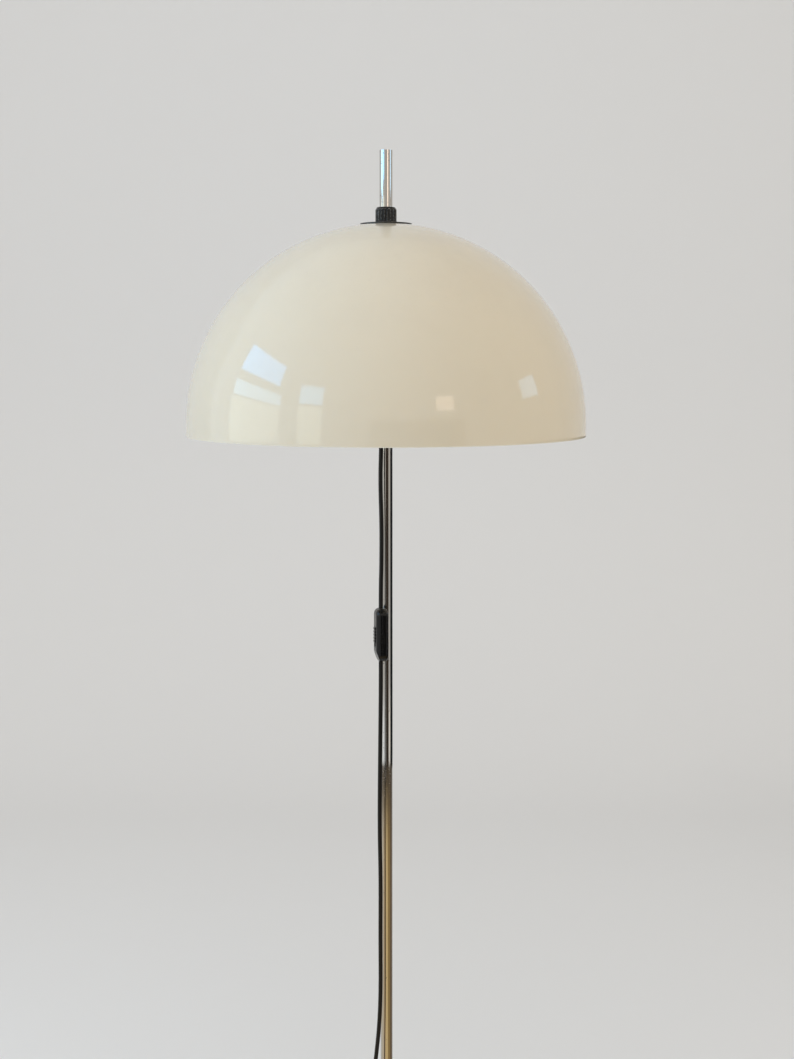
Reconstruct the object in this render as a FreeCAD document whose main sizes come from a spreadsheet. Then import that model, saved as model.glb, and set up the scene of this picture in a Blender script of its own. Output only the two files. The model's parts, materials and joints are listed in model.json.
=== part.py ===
import FreeCAD, Part
import math
import os

import Sketcher

# Mushroom floor lamp: a half-sphere acrylic shade that slides and turns on a chromed rod.
# Origin: centre of the foot's underside. +Z up, -Y is the front, lengths in millimetres.

Vector = FreeCAD.Vector
Rotation = FreeCAD.Rotation

document = FreeCAD.newDocument("MushroomFloorLamp")
sheet = document.addObject("Spreadsheet::Sheet", "Sizes")


class Size:
    """A length that knows its number and the sheet expression that gives it."""

    def __init__(self, number, text=None):
        self.number = float(number)
        self.text = text or f"({float(number):.9g})"

    def __add__(self, other):
        other = as_size(other)
        return Size(self.number + other.number, f"({self.text} + {other.text})")

    def __sub__(self, other):
        other = as_size(other)
        return Size(self.number - other.number, f"({self.text} - {other.text})")

    def __mul__(self, other):
        other = as_size(other)
        return Size(self.number * other.number, f"({self.text} * {other.text})")

    def __truediv__(self, other):
        other = as_size(other)
        return Size(self.number / other.number, f"({self.text} / {other.text})")

    def __neg__(self):
        return Size(-self.number, f"(0 - {self.text})")

    def __radd__(self, other):
        return as_size(other) + self

    def __rsub__(self, other):
        return as_size(other) - self

    def __rmul__(self, other):
        return as_size(other) * self


def as_size(value):
    return value if isinstance(value, Size) else Size(value)


def root(value):
    return Size(math.sqrt(value.number), f"sqrt({value.text})")


sheet_rows = []


def size(alias, number):
    """Put one driving size into the sheet and hand it back."""
    sheet_rows.append(alias)
    row = len(sheet_rows)
    sheet.set(f"A{row}", alias)
    sheet.set(f"B{row}", str(number))
    sheet.setAlias(f"B{row}", alias)
    return Size(number, f"Sizes.{alias}")


# ---- driving sizes: rod and fits -------------------------------------------------------
total_height = size("total_height", 1450)
rod_diameter = size("rod_diameter", 16)
rod_wall = size("rod_wall", 1.2)
running_gap = size("running_gap", 0.05)
fit_gap = size("fit_gap", 0.1)
seat_gap = size("seat_gap", 0.3)
cut_margin = size("cut_margin", 1)

# ---- driving sizes: foot ---------------------------------------------------------------
foot_diameter = size("foot_diameter", 280)
foot_centre_height = size("foot_centre_height", 34)
foot_edge_height = size("foot_edge_height", 22)
foot_shoulder = size("foot_shoulder", 9)
foot_wall = size("foot_wall", 1.2)
foot_floor_gap = size("foot_floor_gap", 0.8)
felt_thickness = size("felt_thickness", 2)
felt_inset = size("felt_inset", 7)
felt_bore = size("felt_bore", 80)
weight_thickness = size("weight_thickness", 14)
weight_boss = size("weight_boss", 40)
weight_rounding = size("weight_rounding", 3)
bolt_diameter = size("bolt_diameter", 10)
bolt_length = size("bolt_length", 50)
bolt_head_width = size("bolt_head_width", 17)
bolt_head_height = size("bolt_head_height", 6.4)
bolt_clearance = size("bolt_clearance", 0.5)
washer_diameter = size("washer_diameter", 24)
washer_thickness = size("washer_thickness", 2)
well_depth = size("well_depth", 10)
well_clearance = size("well_clearance", 2)
insert_length = size("insert_length", 40)
collar_diameter = size("collar_diameter", 34)
collar_height = size("collar_height", 16)
collar_rounding = size("collar_rounding", 4)
collar_seat_margin = size("collar_seat_margin", 5)
set_screw_diameter = size("set_screw_diameter", 4)
set_screw_drop = size("set_screw_drop", 1)
set_screw_sink = size("set_screw_sink", 1)
top_plug_length = size("top_plug_length", 8)
top_plug_recess = size("top_plug_recess", 0.4)
top_plug_rounding = size("top_plug_rounding", 0.8)

# ---- driving sizes: shade and hub ------------------------------------------------------
shade_drop = size("shade_drop", 88.5)
shade_diameter = size("shade_diameter", 500)
shade_wall = size("shade_wall", 3)
shade_skirt = size("shade_skirt", 12.5)
shade_rim_rounding = size("shade_rim_rounding", 1.1)
hub_diameter = size("hub_diameter", 21.2)
hub_bore_wall = size("hub_bore_wall", 1.3)
hub_hole_clearance = size("hub_hole_clearance", 0.8)
flange_diameter = size("flange_diameter", 46)
flange_thickness = size("flange_thickness", 4)
flange_rounding = size("flange_rounding", 0.8)
gasket_edge = size("gasket_edge", 2.3)
hub_drop = size("hub_drop", 114)
disc_diameter = size("disc_diameter", 64)
disc_thickness = size("disc_thickness", 1.4)
knob_diameter = size("knob_diameter", 26.4)
knob_crown_radius = size("knob_crown_radius", 11.2)
knob_height = size("knob_height", 18)
knob_crown = size("knob_crown", 1.6)
knob_skirt = size("knob_skirt", 14.6)
knob_foot_chamfer = size("knob_foot_chamfer", 0.6)
knob_flutes = 20
flute_radius = size("flute_radius", 1.5)
flute_offset = size("flute_offset", 0.4)
flute_height = size("flute_height", 15.2)
thread_depth = size("thread_depth", 11.3)
knob_cone_height = size("knob_cone_height", 3.2)
knob_cone_draft = size("knob_cone_draft", 0.5)
collet_length = size("collet_length", 40)
collet_tip = size("collet_tip", 3)
collet_slot = size("collet_slot", 1)
collet_slot_length = size("collet_slot_length", 22)
bush_length = size("bush_length", 20)
bush_lip = size("bush_lip", 1.5)
bush_lip_stand = size("bush_lip_stand", 1)
hub_nut_width = size("hub_nut_width", 30)
hub_nut_thickness = size("hub_nut_thickness", 5)

# ---- driving sizes: junction box and lampholders ---------------------------------------
box_drop = size("box_drop", 89)
box_length = size("box_length", 84)
box_width = size("box_width", 60)
box_height = size("box_height", 44)
box_corner = size("box_corner", 8)
box_wall = size("box_wall", 1.8)
cover_thickness = size("cover_thickness", 1.5)
cover_rod_clearance = size("cover_rod_clearance", 1.5)
post_diameter = size("post_diameter", 8)
post_inset_x = size("post_inset_x", 5.5)
post_inset_y = size("post_inset_y", 5.5)
screw_diameter = size("screw_diameter", 2.6)
screw_head_diameter = size("screw_head_diameter", 6)
screw_head_height = size("screw_head_height", 1.8)
screw_length = size("screw_length", 9)
screw_head_rounding = size("screw_head_rounding", 1)
nipple_diameter = size("nipple_diameter", 10)
nipple_bore = size("nipple_bore", 7)
nipple_length = size("nipple_length", 16)
nipple_inside = size("nipple_inside", 6.5)
nipple_nut_width = size("nipple_nut_width", 14)
nipple_nut_thickness = size("nipple_nut_thickness", 3)
holder_diameter = size("holder_diameter", 40)
holder_back_diameter = size("holder_back_diameter", 28)
holder_cap_length = size("holder_cap_length", 22)
holder_barrel_length = size("holder_barrel_length", 34)
holder_wall = size("holder_wall", 2.4)
holder_floor = size("holder_floor", 3)
holder_core_thickness = size("holder_core_thickness", 8)
holder_back_rounding = size("holder_back_rounding", 6)
holder_inner_rounding = size("holder_inner_rounding", 4)
holder_shoulder = size("holder_shoulder", 0.5)
holder_mouth = size("holder_mouth", 1)
holder_mouth_length = size("holder_mouth_length", 4)
shell_diameter = size("shell_diameter", 27.8)
shell_thickness = size("shell_thickness", 0.5)
shell_mouth = size("shell_mouth", 6)
ring_width = size("ring_width", 6)
ring_height = size("ring_height", 4)
ring_place = size("ring_place", 47)
ring_rounding = size("ring_rounding", 1.2)
contact_diameter = size("contact_diameter", 8)
contact_height = size("contact_height", 3)
contact_tip = size("contact_tip", 1)
contact_clearance = size("contact_clearance", 3)
barrel_floor = size("barrel_floor", 2)
bulb_cap_diameter = size("bulb_cap_diameter", 26.4)
bulb_cap_length = size("bulb_cap_length", 26)
bulb_tip_height = size("bulb_tip_height", 1.4)
bulb_cone_height = size("bulb_cone_height", 4.5)
bulb_cone_edge = size("bulb_cone_edge", 1)
bulb_length = size("bulb_length", 105)
bulb_diameter = size("bulb_diameter", 60)
bulb_wall = size("bulb_wall", 1)
terminal_length = size("terminal_length", 20)
terminal_depth = size("terminal_depth", 12)
terminal_height = size("terminal_height", 12)
terminal_screw_diameter = size("terminal_screw_diameter", 3.2)
terminal_screw_length = size("terminal_screw_length", 5)
terminal_rise = size("terminal_rise", 8)
core_diameter = size("core_diameter", 2)
core_spacing = size("core_spacing", 2.6)
terminal_core_spacing = size("terminal_core_spacing", 4)
core_run = size("core_run", 9)
core_bend = size("core_bend", 5)

# ---- driving sizes: cord, switch and plug ----------------------------------------------
cord_diameter = size("cord_diameter", 5.4)
gland_length = size("gland_length", 32)
gland_flange_diameter = size("gland_flange_diameter", 13)
gland_flange_height = size("gland_flange_height", 3)
gland_neck_diameter = size("gland_neck_diameter", 8)
gland_head_height = size("gland_head_height", 3)
gland_tip_wall = size("gland_tip_wall", 0.9)
gland_shoulder = size("gland_shoulder", 1.5)
gland_rounding = size("gland_rounding", 0.8)
gland_head_inset = size("gland_head_inset", 1)
gland_head_rounding = size("gland_head_rounding", 1)
switch_length = size("switch_length", 67.3)
switch_width = size("switch_width", 26)
switch_thickness = size("switch_thickness", 15)
switch_corner = size("switch_corner", 9)
switch_back_edge = size("switch_back_edge", 3.5)
switch_face_edge = size("switch_face_edge", 6.5)
switch_taper_length = size("switch_taper_length", 13.5)
switch_taper_depth = size("switch_taper_depth", 4.5)
switch_wall = size("switch_wall", 1.8)
switch_turn = 12
switch_height = size("switch_height", 849)
cavity_length = size("cavity_length", 44)
cavity_width = size("cavity_width", 20)
channel_gap = size("channel_gap", 0.2)
slider_length = size("slider_length", 20)
slider_width = size("slider_width", 7.4)
slider_travel = size("slider_travel", 5.5)
slider_stand = size("slider_stand", 0.7)
slider_plate = size("slider_plate", 1.2)
slider_plate_margin = size("slider_plate_margin", 2)
ridge_count = 5
ridge_pitch = size("ridge_pitch", 4)
ridge_width = size("ridge_width", 1.6)
ridge_height = size("ridge_height", 0.9)
bridge_thickness = size("bridge_thickness", 1)
bridge_length = size("bridge_length", 14)
bridge_width = size("bridge_width", 4)
contact_gap = size("contact_gap", 6)
strip_thickness = size("strip_thickness", 0.6)
post_length = size("post_length", 8)
post_width = size("post_width", 9)
switch_screw_place = size("switch_screw_place", 25.5)
switch_screw_side = size("switch_screw_side", 6)
switch_screw_recess = size("switch_screw_recess", 0.6)
tie_width = size("tie_width", 8)
tie_thickness = size("tie_thickness", 0.6)
tie_margin = size("tie_margin", 0.5)
plug_diameter = size("plug_diameter", 41.6)
plug_body_length = size("plug_body_length", 36)
plug_shoulder = size("plug_shoulder", 12)
plug_shoulder_rounding = size("plug_shoulder_rounding", 6)
plug_edge_rounding = size("plug_edge_rounding", 1.5)
plug_collar = size("plug_collar", 2)
plug_sleeve_length = size("plug_sleeve_length", 24)
plug_sleeve_diameter = size("plug_sleeve_diameter", 12)
plug_sleeve_rounding = size("plug_sleeve_rounding", 0.4)
pin_diameter = size("pin_diameter", 4.8)
pin_length = size("pin_length", 19)
pin_spacing = size("pin_spacing", 19)
pin_rounding = size("pin_rounding", 1.6)

# ---- sizes worked out from the driving ones --------------------------------------------
rod_radius = rod_diameter / 2
rod_bore_radius = rod_radius - rod_wall
foot_radius = foot_diameter / 2
seat_radius = collar_diameter / 2 + collar_seat_margin
well_bottom = felt_thickness + well_depth

shade_radius = shade_diameter / 2
shade_inner = shade_radius - shade_wall
dome_centre = total_height - shade_drop - shade_radius
hub_radius = hub_diameter / 2
hub_bore = hub_radius - hub_bore_wall
flange_radius = flange_diameter / 2
flange_top = dome_centre + root(shade_inner * shade_inner - flange_radius * flange_radius) - gasket_edge
flange_bottom = flange_top - flange_thickness
hub_bottom = flange_bottom - hub_drop
disc_top = shade_radius + fit_gap + disc_thickness
knob_bottom = dome_centre + root(disc_top * disc_top - hub_radius * hub_radius) + fit_gap
hub_top = knob_bottom + thread_depth - seat_gap * 2
collet_radius = hub_bore - running_gap

box_top = flange_bottom - box_drop
box_bottom = box_top - box_height
holder_height = box_top - box_height / 2
post_x = box_length / 2 - post_inset_x
post_y = box_width / 2 - post_inset_y

cord_radius = cord_diameter / 2
gland_bottom = box_bottom - cover_thickness - gland_length

document.recompute()


# ---- helpers: objects bound to the sheet -----------------------------------------------
def bind(thing, field, amount):
    thing.setExpression(field, as_size(amount).text)


def place(thing, x=0, y=0, z=0, rotation=None):
    spot = [as_size(amount) for amount in (x, y, z)]
    base = Vector(*[amount.number for amount in spot])
    thing.Placement = FreeCAD.Placement(base, rotation or Rotation())
    for letter, amount in zip("xyz", spot):
        bind(thing, f"Placement.Base.{letter}", amount)
    return thing


def primitive(kind, name, **amounts):
    thing = document.addObject(f"Part::{kind}", name)
    for field, amount in amounts.items():
        bind(thing, field, amount)
    return thing


def cylinder(name, radius, length, **spot):
    return place(primitive("Cylinder", name, Radius=radius, Height=length), **spot)


def block(name, length, width, height, **spot):
    return place(primitive("Box", name, Length=length, Width=width, Height=height), **spot)


def hexagon(name, across_flats, height, **spot):
    prism = primitive("Prism", name, Circumradius=across_flats / root(Size(3)), Height=height)
    prism.Polygon = 6
    return place(prism, **spot)


def fuse(name, *things):
    joined = document.addObject("Part::MultiFuse", name)
    joined.Shapes = list(things)
    return joined


def cut(name, base, *tools):
    remainder = document.addObject("Part::Cut", name)
    remainder.Base = base
    remainder.Tool = tools[0] if len(tools) == 1 else fuse(f"{name}_tools", *tools)
    return remainder


def group(name, *things):
    compound = document.addObject("Part::Compound", name)
    compound.Links = list(things)
    return compound


# ---- helpers: bodies with sketches -----------------------------------------------------
class Corner:
    """A point of an outline. The side that leaves it may be an arc of radius bow,
    with its centre on the left of the way round if bow is positive."""

    def __init__(self, across, up, rounding=None, bow=None):
        self.across = as_size(across)
        self.up = as_size(up)
        self.rounding = as_size(rounding) if rounding is not None else None
        self.bow = as_size(bow) if bow is not None else None

    def point(self):
        return Vector(self.across.number, self.up.number, 0)


def circle_arc(first, last, centre, left):
    """An arc that runs from first to last, and which of its ends is which."""
    begin, finish = (first, last) if left else (last, first)
    circle = Part.Circle(centre, Vector(0, 0, 1), (first - centre).Length)
    start, stop = circle.parameter(begin), circle.parameter(finish)
    arc = Part.ArcOfCircle(circle, start, stop if stop > start else stop + 2 * math.pi)
    return arc, (1, 2) if left else (2, 1)


def bowed_side(first, last, bow):
    chord = last - first
    left_of_chord = Vector(-chord.y, chord.x, 0).normalize()
    height = math.sqrt(bow * bow - chord.Length * chord.Length / 4)
    centre = (first + last) / 2 + left_of_chord * math.copysign(height, bow)
    return circle_arc(first, last, centre, bow > 0)


def fix_point(sketch, geometry, end, corner):
    for kind, amount, axis in (("DistanceX", corner.across, -2), ("DistanceY", corner.up, -1)):
        if amount.number == 0:
            sketch.addConstraint(Sketcher.Constraint("PointOnObject", geometry, end, axis))
            continue
        index = sketch.addConstraint(Sketcher.Constraint(kind, -1, 1, geometry, end, amount.number))
        bind(sketch, f"Constraints[{index}]", amount)


def fix_radius(sketch, geometry, amount):
    index = sketch.addConstraint(Sketcher.Constraint("Radius", geometry, abs(amount.number)))
    bind(sketch, f"Constraints[{index}]", amount if amount.number > 0 else -amount)


def draw(sketch, corners):
    """Draw a closed outline through the corners, with every point bound to the sheet."""
    count = len(corners)
    points = [corner.point() for corner in corners]
    ways = [(points[(i + 1) % count] - points[i]).normalize() for i in range(count)]
    trims = []
    for i, corner in enumerate(corners):
        turn = ways[i - 1].getAngle(ways[i])
        trims.append(corner.rounding.number * math.tan(turn / 2) if corner.rounding else 0)
    sides = []
    for i, corner in enumerate(corners):
        after = (i + 1) % count
        if corner.bow:
            arc, ends = bowed_side(points[i], points[after], corner.bow.number)
            sides.append((sketch.addGeometry(arc), *ends))
            fix_radius(sketch, sides[-1][0], corner.bow)
        else:
            line = Part.LineSegment(points[i] + ways[i] * trims[i], points[after] - ways[i] * trims[after])
            sides.append((sketch.addGeometry(line), 1, 2))
    for i, corner in enumerate(corners):
        before, _, before_end = sides[i - 1]
        after, after_end, _ = sides[i]
        if not corner.rounding:
            sketch.addConstraint(Sketcher.Constraint("Coincident", before, before_end, after, after_end))
            fix_point(sketch, after, after_end, corner)
            continue
        left = ways[i - 1].cross(ways[i]).z > 0
        normal = Vector(-ways[i - 1].y, ways[i - 1].x, 0) * (1 if left else -1)
        first = points[i] - ways[i - 1] * trims[i]
        centre = first + normal * corner.rounding.number
        arc, ends = circle_arc(first, points[i] + ways[i] * trims[i], centre, left)
        bend = sketch.addGeometry(arc)
        mark = sketch.addGeometry(Part.Point(points[i]), True)
        fix_point(sketch, mark, 1, corner)
        sketch.addConstraint(Sketcher.Constraint("PointOnObject", mark, 1, before))
        sketch.addConstraint(Sketcher.Constraint("PointOnObject", mark, 1, after))
        sketch.addConstraint(Sketcher.Constraint("Tangent", before, before_end, bend, ends[0]))
        sketch.addConstraint(Sketcher.Constraint("Tangent", bend, ends[1], after, after_end))
        fix_radius(sketch, bend, corner.rounding)


def draw_circle(sketch, across, up, radius):
    radius = as_size(radius)
    spot = Corner(across, up)
    ring = sketch.addGeometry(Part.Circle(spot.point(), Vector(0, 0, 1), radius.number))
    fix_radius(sketch, ring, radius)
    fix_point(sketch, ring, 3, spot)


def rectangle(length, width, rounding=None):
    """Corners of a rectangle about the origin."""
    across, up = length / 2, width / 2
    spots = ((-across, -up), (across, -up), (across, up), (-across, up))
    return [Corner(x, y, rounding) for x, y in spots]


def new_body(name):
    return document.addObject("PartDesign::Body", name)


def new_sketch(body, name, role, offset=0):
    plane = next(feature for feature in body.Origin.OriginFeatures if feature.Role == role)
    sketch = body.newObject("Sketcher::SketchObject", f"{body.Name}_{name}")
    sketch.AttachmentSupport = [(plane, "")]
    sketch.MapMode = "FlatFace"
    bind(sketch, "AttachmentOffset.Base.z", offset)
    return sketch


def extrude(body, kind, sketch, length, reverse=False):
    feature = body.newObject(f"PartDesign::{kind}", f"{sketch.Name}_{kind}")
    feature.Profile = sketch
    feature.Reversed = reverse
    bind(feature, "Length", length)
    sketch.Visibility = False
    return feature


def pad(body, name, outline, length, role="XY_Plane", offset=0, reverse=False):
    sketch = new_sketch(body, name, role, offset)
    draw(sketch, outline)
    return extrude(body, "Pad", sketch, length, reverse)


def pocket(body, name, outline, depth, role="XY_Plane", offset=0, reverse=True):
    sketch = new_sketch(body, name, role, offset)
    draw(sketch, outline)
    return extrude(body, "Pocket", sketch, depth, reverse)


def drill(body, name, spots, radius, depth, role="XY_Plane", offset=0, reverse=True):
    sketch = new_sketch(body, name, role, offset)
    for across, up in spots:
        draw_circle(sketch, across, up, radius)
    return extrude(body, "Pocket", sketch, depth, reverse)


def turned(name, outline, **spot):
    """A body turned about its own Z axis from an outline of (radius, height) corners."""
    body = new_body(name)
    sketch = new_sketch(body, "outline", "XZ_Plane")
    draw(sketch, outline)
    feature = body.newObject("PartDesign::Revolution", f"{name}_turned")
    feature.Profile = sketch
    feature.ReferenceAxis = (sketch, ["V_Axis"])
    feature.Angle = 360
    return place(body, **spot)


def tube_ring(name, inner, outer, height, **spot):
    corners = [Corner(inner, 0), Corner(outer, 0), Corner(outer, height), Corner(inner, height)]
    return turned(name, corners, **spot)


# ---- helpers: cords and wires ----------------------------------------------------------
def corner_arc(start, corner, finish):
    """The arc that touches both legs of a corner at start and finish, legs being equal."""
    turn = (corner - start).getAngle(finish - corner)
    share = math.cos(turn / 2) / (1 + math.cos(turn / 2))
    middle = (start + finish) / 2
    return Part.Arc(start, middle + (corner - middle) * share, finish).toShape()


def rounded_path(points):
    """Straight runs joined by tangent arcs; also gives the smallest arc radius."""
    edges, here, tightest = [], points[0], math.inf
    for before, corner, after in zip(points, points[1:], points[2:]):
        run_in, run_out = corner - before, after - corner
        trim = 0.45 * min(run_in.Length, run_out.Length)
        start = corner - run_in.normalize() * trim
        finish = corner + run_out.normalize() * trim
        tightest = min(tightest, trim / math.tan(run_in.getAngle(run_out) / 2))
        edges.append(Part.LineSegment(here, start).toShape())
        edges.append(corner_arc(start, corner, finish))
        here = finish
    edges.append(Part.LineSegment(here, points[-1]).toShape())
    return Part.Wire(edges), tightest


def tube(path, radius):
    """A solid round tube along a wire."""
    first = path.OrderedEdges[0]
    way = first.tangentAt(first.FirstParameter)
    ring = Part.Wire([Part.makeCircle(radius, first.valueAt(first.FirstParameter), way)])
    shell = Part.BRepOffsetAPI.MakePipeShell(path)
    shell.add(ring)
    shell.build()
    shell.makeSolid()
    return shell.shape()


def solid_feature(name, shape):
    feature = document.addObject("Part::Feature", name)
    feature.Shape = shape
    return feature


def cord_feature(name, points, radius):
    path, tightest = rounded_path([Vector(*point) for point in points])
    solid = tube(path, radius)
    share = solid.Volume / (math.pi * radius * radius * path.Length)
    print(f"{name}: {path.Length:.0f} mm long, tightest radius {tightest:.0f} mm, volume share {share:.4f}")
    return solid_feature(name, solid)


pieces = []


def keep(*things):
    pieces.extend(things)
    return things[0]


# ---- foot ------------------------------------------------------------------------------
def build_foot():
    keep(tube_ring("base_felt", felt_bore / 2, foot_radius - felt_inset, felt_thickness))

    bolt_hole = bolt_diameter / 2 + bolt_clearance
    well = washer_diameter / 2 + well_clearance
    weight_edge = foot_radius - foot_wall * 2
    boss_height = foot_centre_height - foot_wall - felt_thickness
    keep(turned("base_weight", [
        Corner(bolt_hole, well_depth),
        Corner(well, well_depth),
        Corner(well, 0),
        Corner(weight_edge, 0),
        Corner(weight_edge, weight_thickness, rounding=weight_rounding),
        Corner(weight_boss / 2, weight_thickness),
        Corner(weight_boss / 2, boss_height),
        Corner(bolt_hole, boss_height),
    ], z=felt_thickness))

    inner_radius = foot_radius - foot_wall
    keep(turned("base_cover", [
        Corner(bolt_hole, foot_centre_height - foot_wall),
        Corner(seat_radius, foot_centre_height - foot_wall),
        Corner(inner_radius, foot_edge_height - foot_wall, rounding=foot_shoulder - foot_wall),
        Corner(inner_radius, foot_floor_gap),
        Corner(foot_radius, foot_floor_gap),
        Corner(foot_radius, foot_edge_height, rounding=foot_shoulder),
        Corner(seat_radius, foot_centre_height),
        Corner(bolt_hole, foot_centre_height),
    ]))

    keep(tube_ring("foot_washer", bolt_diameter / 2 + fit_gap, washer_diameter / 2, washer_thickness,
                   z=well_bottom - washer_thickness))
    under_head = well_bottom - washer_thickness
    head = hexagon("foot_bolt_head", bolt_head_width, bolt_head_height, z=under_head - bolt_head_height)
    shank = cylinder("foot_bolt_shank", bolt_diameter / 2, bolt_length, z=under_head)
    keep(fuse("foot_bolt", head, shank))

    keep(tube_ring("rod_foot_insert", bolt_diameter / 2 + fit_gap, rod_bore_radius - running_gap,
                   insert_length, z=foot_centre_height))

    collar = turned("foot_collar_ring", [
        Corner(rod_radius + fit_gap, 0),
        Corner(collar_diameter / 2, 0),
        Corner(collar_diameter / 2, collar_height, rounding=collar_rounding),
        Corner(rod_radius + fit_gap, collar_height),
    ], z=foot_centre_height)
    to_back = Rotation(Vector(1, 0, 0), -90)
    screw_height = foot_centre_height + collar_height / 2 - set_screw_drop
    screw_hole = cylinder("collar_screw_hole", set_screw_diameter / 2 + fit_gap, collar_diameter / 2,
                          z=screw_height, rotation=to_back)
    keep(cut("foot_collar", collar, screw_hole))
    screw_start = rod_radius + fit_gap
    screw_span = collar_diameter / 2 - screw_start - set_screw_sink
    keep(cylinder("collar_screw", set_screw_diameter / 2, screw_span,
                  y=screw_start, z=screw_height, rotation=to_back))


def build_rod():
    keep(tube_ring("rod", rod_bore_radius, rod_radius, total_height - foot_centre_height,
                   z=foot_centre_height))
    plug_radius = rod_bore_radius - running_gap
    keep(turned("rod_top_plug", [
        Corner(0, 0),
        Corner(plug_radius, 0),
        Corner(plug_radius, top_plug_length, rounding=top_plug_rounding),
        Corner(0, top_plug_length),
    ], z=total_height - top_plug_length - top_plug_recess))


# ---- head: hub, shade and clamp --------------------------------------------------------
def build_hub():
    above_flange = flange_top - hub_bottom
    keep(turned("hub_sleeve", [
        Corner(hub_bore, 0),
        Corner(hub_radius, 0),
        Corner(hub_radius, hub_drop),
        Corner(flange_radius, hub_drop, rounding=flange_rounding),
        Corner(flange_radius, above_flange, rounding=flange_rounding),
        Corner(hub_radius, above_flange),
        Corner(hub_radius, hub_top - hub_bottom),
        Corner(hub_bore, hub_top - hub_bottom),
    ], z=hub_bottom))

    bore = rod_radius + running_gap
    keep(turned("guide_bush", [
        Corner(bore, -bush_lip),
        Corner(hub_radius + bush_lip_stand, -bush_lip),
        Corner(hub_radius + bush_lip_stand, 0),
        Corner(hub_bore - running_gap, 0),
        Corner(hub_bore - running_gap, bush_length),
        Corner(bore, bush_length),
    ], z=hub_bottom))

    tip = collet_radius - knob_cone_draft
    sleeve = turned("collet_sleeve", [
        Corner(bore, 0),
        Corner(collet_radius, 0),
        Corner(collet_radius, collet_length),
        Corner(tip, collet_length + collet_tip),
        Corner(bore, collet_length + collet_tip),
    ], z=hub_top - collet_length)
    slot_bottom = hub_top + collet_tip - collet_slot_length
    slots = []
    for name, spans in (("x", (hub_diameter, collet_slot)), ("y", (collet_slot, hub_diameter))):
        slots.append(block(f"collet_slot_{name}", *spans, collet_slot_length + cut_margin,
                           x=-spans[0] / 2, y=-spans[1] / 2, z=slot_bottom))
    keep(cut("split_collet", sleeve, *slots))

    hole = hub_radius + fit_gap
    nuts = []
    for name, bottom in (("upper", box_top), ("lower", box_top - box_wall - hub_nut_thickness)):
        solid = hexagon(f"hub_nut_{name}_blank", hub_nut_width, hub_nut_thickness, z=bottom)
        bored = cylinder(f"hub_nut_{name}_bore", hole, hub_nut_thickness, z=bottom)
        nuts.append(cut(f"hub_nut_{name}", solid, bored))
    keep(group("hub_nuts", *nuts))


def build_shade():
    hole = hub_radius + hub_hole_clearance
    keep(turned("shade", [
        Corner(hole, root(shade_radius * shade_radius - hole * hole), bow=-shade_radius),
        Corner(shade_radius, 0),
        Corner(shade_radius, -shade_skirt, rounding=shade_rim_rounding),
        Corner(shade_inner, -shade_skirt, rounding=shade_rim_rounding),
        Corner(shade_inner, 0, bow=shade_inner),
        Corner(hole, root(shade_inner * shade_inner - hole * hole)),
    ], z=dome_centre))

    under = shade_radius + fit_gap
    over = under + disc_thickness
    bore = hub_radius + seat_gap
    edge = disc_diameter / 2
    keep(turned("top_washer", [
        Corner(bore, root(under * under - bore * bore)),
        Corner(bore, root(over * over - bore * bore), bow=-over),
        Corner(edge, root(over * over - edge * edge)),
        Corner(edge, root(under * under - edge * edge), bow=under),
    ], z=dome_centre))

    crown = shade_inner - fit_gap
    keep(turned("shade_gasket", [
        Corner(bore, flange_top - dome_centre),
        Corner(flange_radius, flange_top - dome_centre),
        Corner(flange_radius, root(crown * crown - flange_radius * flange_radius), bow=crown),
        Corner(bore, root(crown * crown - bore * bore)),
    ], z=dome_centre))


def build_knob():
    knob_radius = knob_diameter / 2
    cone = collet_radius - knob_cone_draft + seat_gap * 2
    body = turned("clamp_knob", [
        Corner(hub_radius + fit_gap * 2, 0),
        Corner(knob_radius - knob_foot_chamfer, 0),
        Corner(knob_radius, knob_foot_chamfer),
        Corner(knob_radius, knob_skirt, rounding=knob_crown),
        Corner(knob_crown_radius, knob_height, rounding=knob_crown),
        Corner(rod_radius + seat_gap, knob_height),
        Corner(rod_radius + seat_gap, thread_depth + knob_cone_height),
        Corner(cone, thread_depth + knob_cone_height),
        Corner(collet_radius + seat_gap * 2, thread_depth),
        Corner(hub_radius + fit_gap * 2, thread_depth),
    ], z=knob_bottom)
    flute = drill(body, "flute", [(knob_radius + flute_offset, 0)], flute_radius, flute_height)
    pattern = body.newObject("PartDesign::PolarPattern", "clamp_knob_flutes")
    pattern.Originals = [flute]
    pattern.Axis = (flute.Profile[0], ["N_Axis"])
    pattern.Angle = 360
    pattern.Occurrences = knob_flutes
    body.Tip = pattern
    keep(body)


# ---- head: junction box and its fittings -----------------------------------------------
post_spots = [(post_x, -post_y), (-post_x, post_y)]
gland_x = -6.4
gland_y = -15.5


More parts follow.
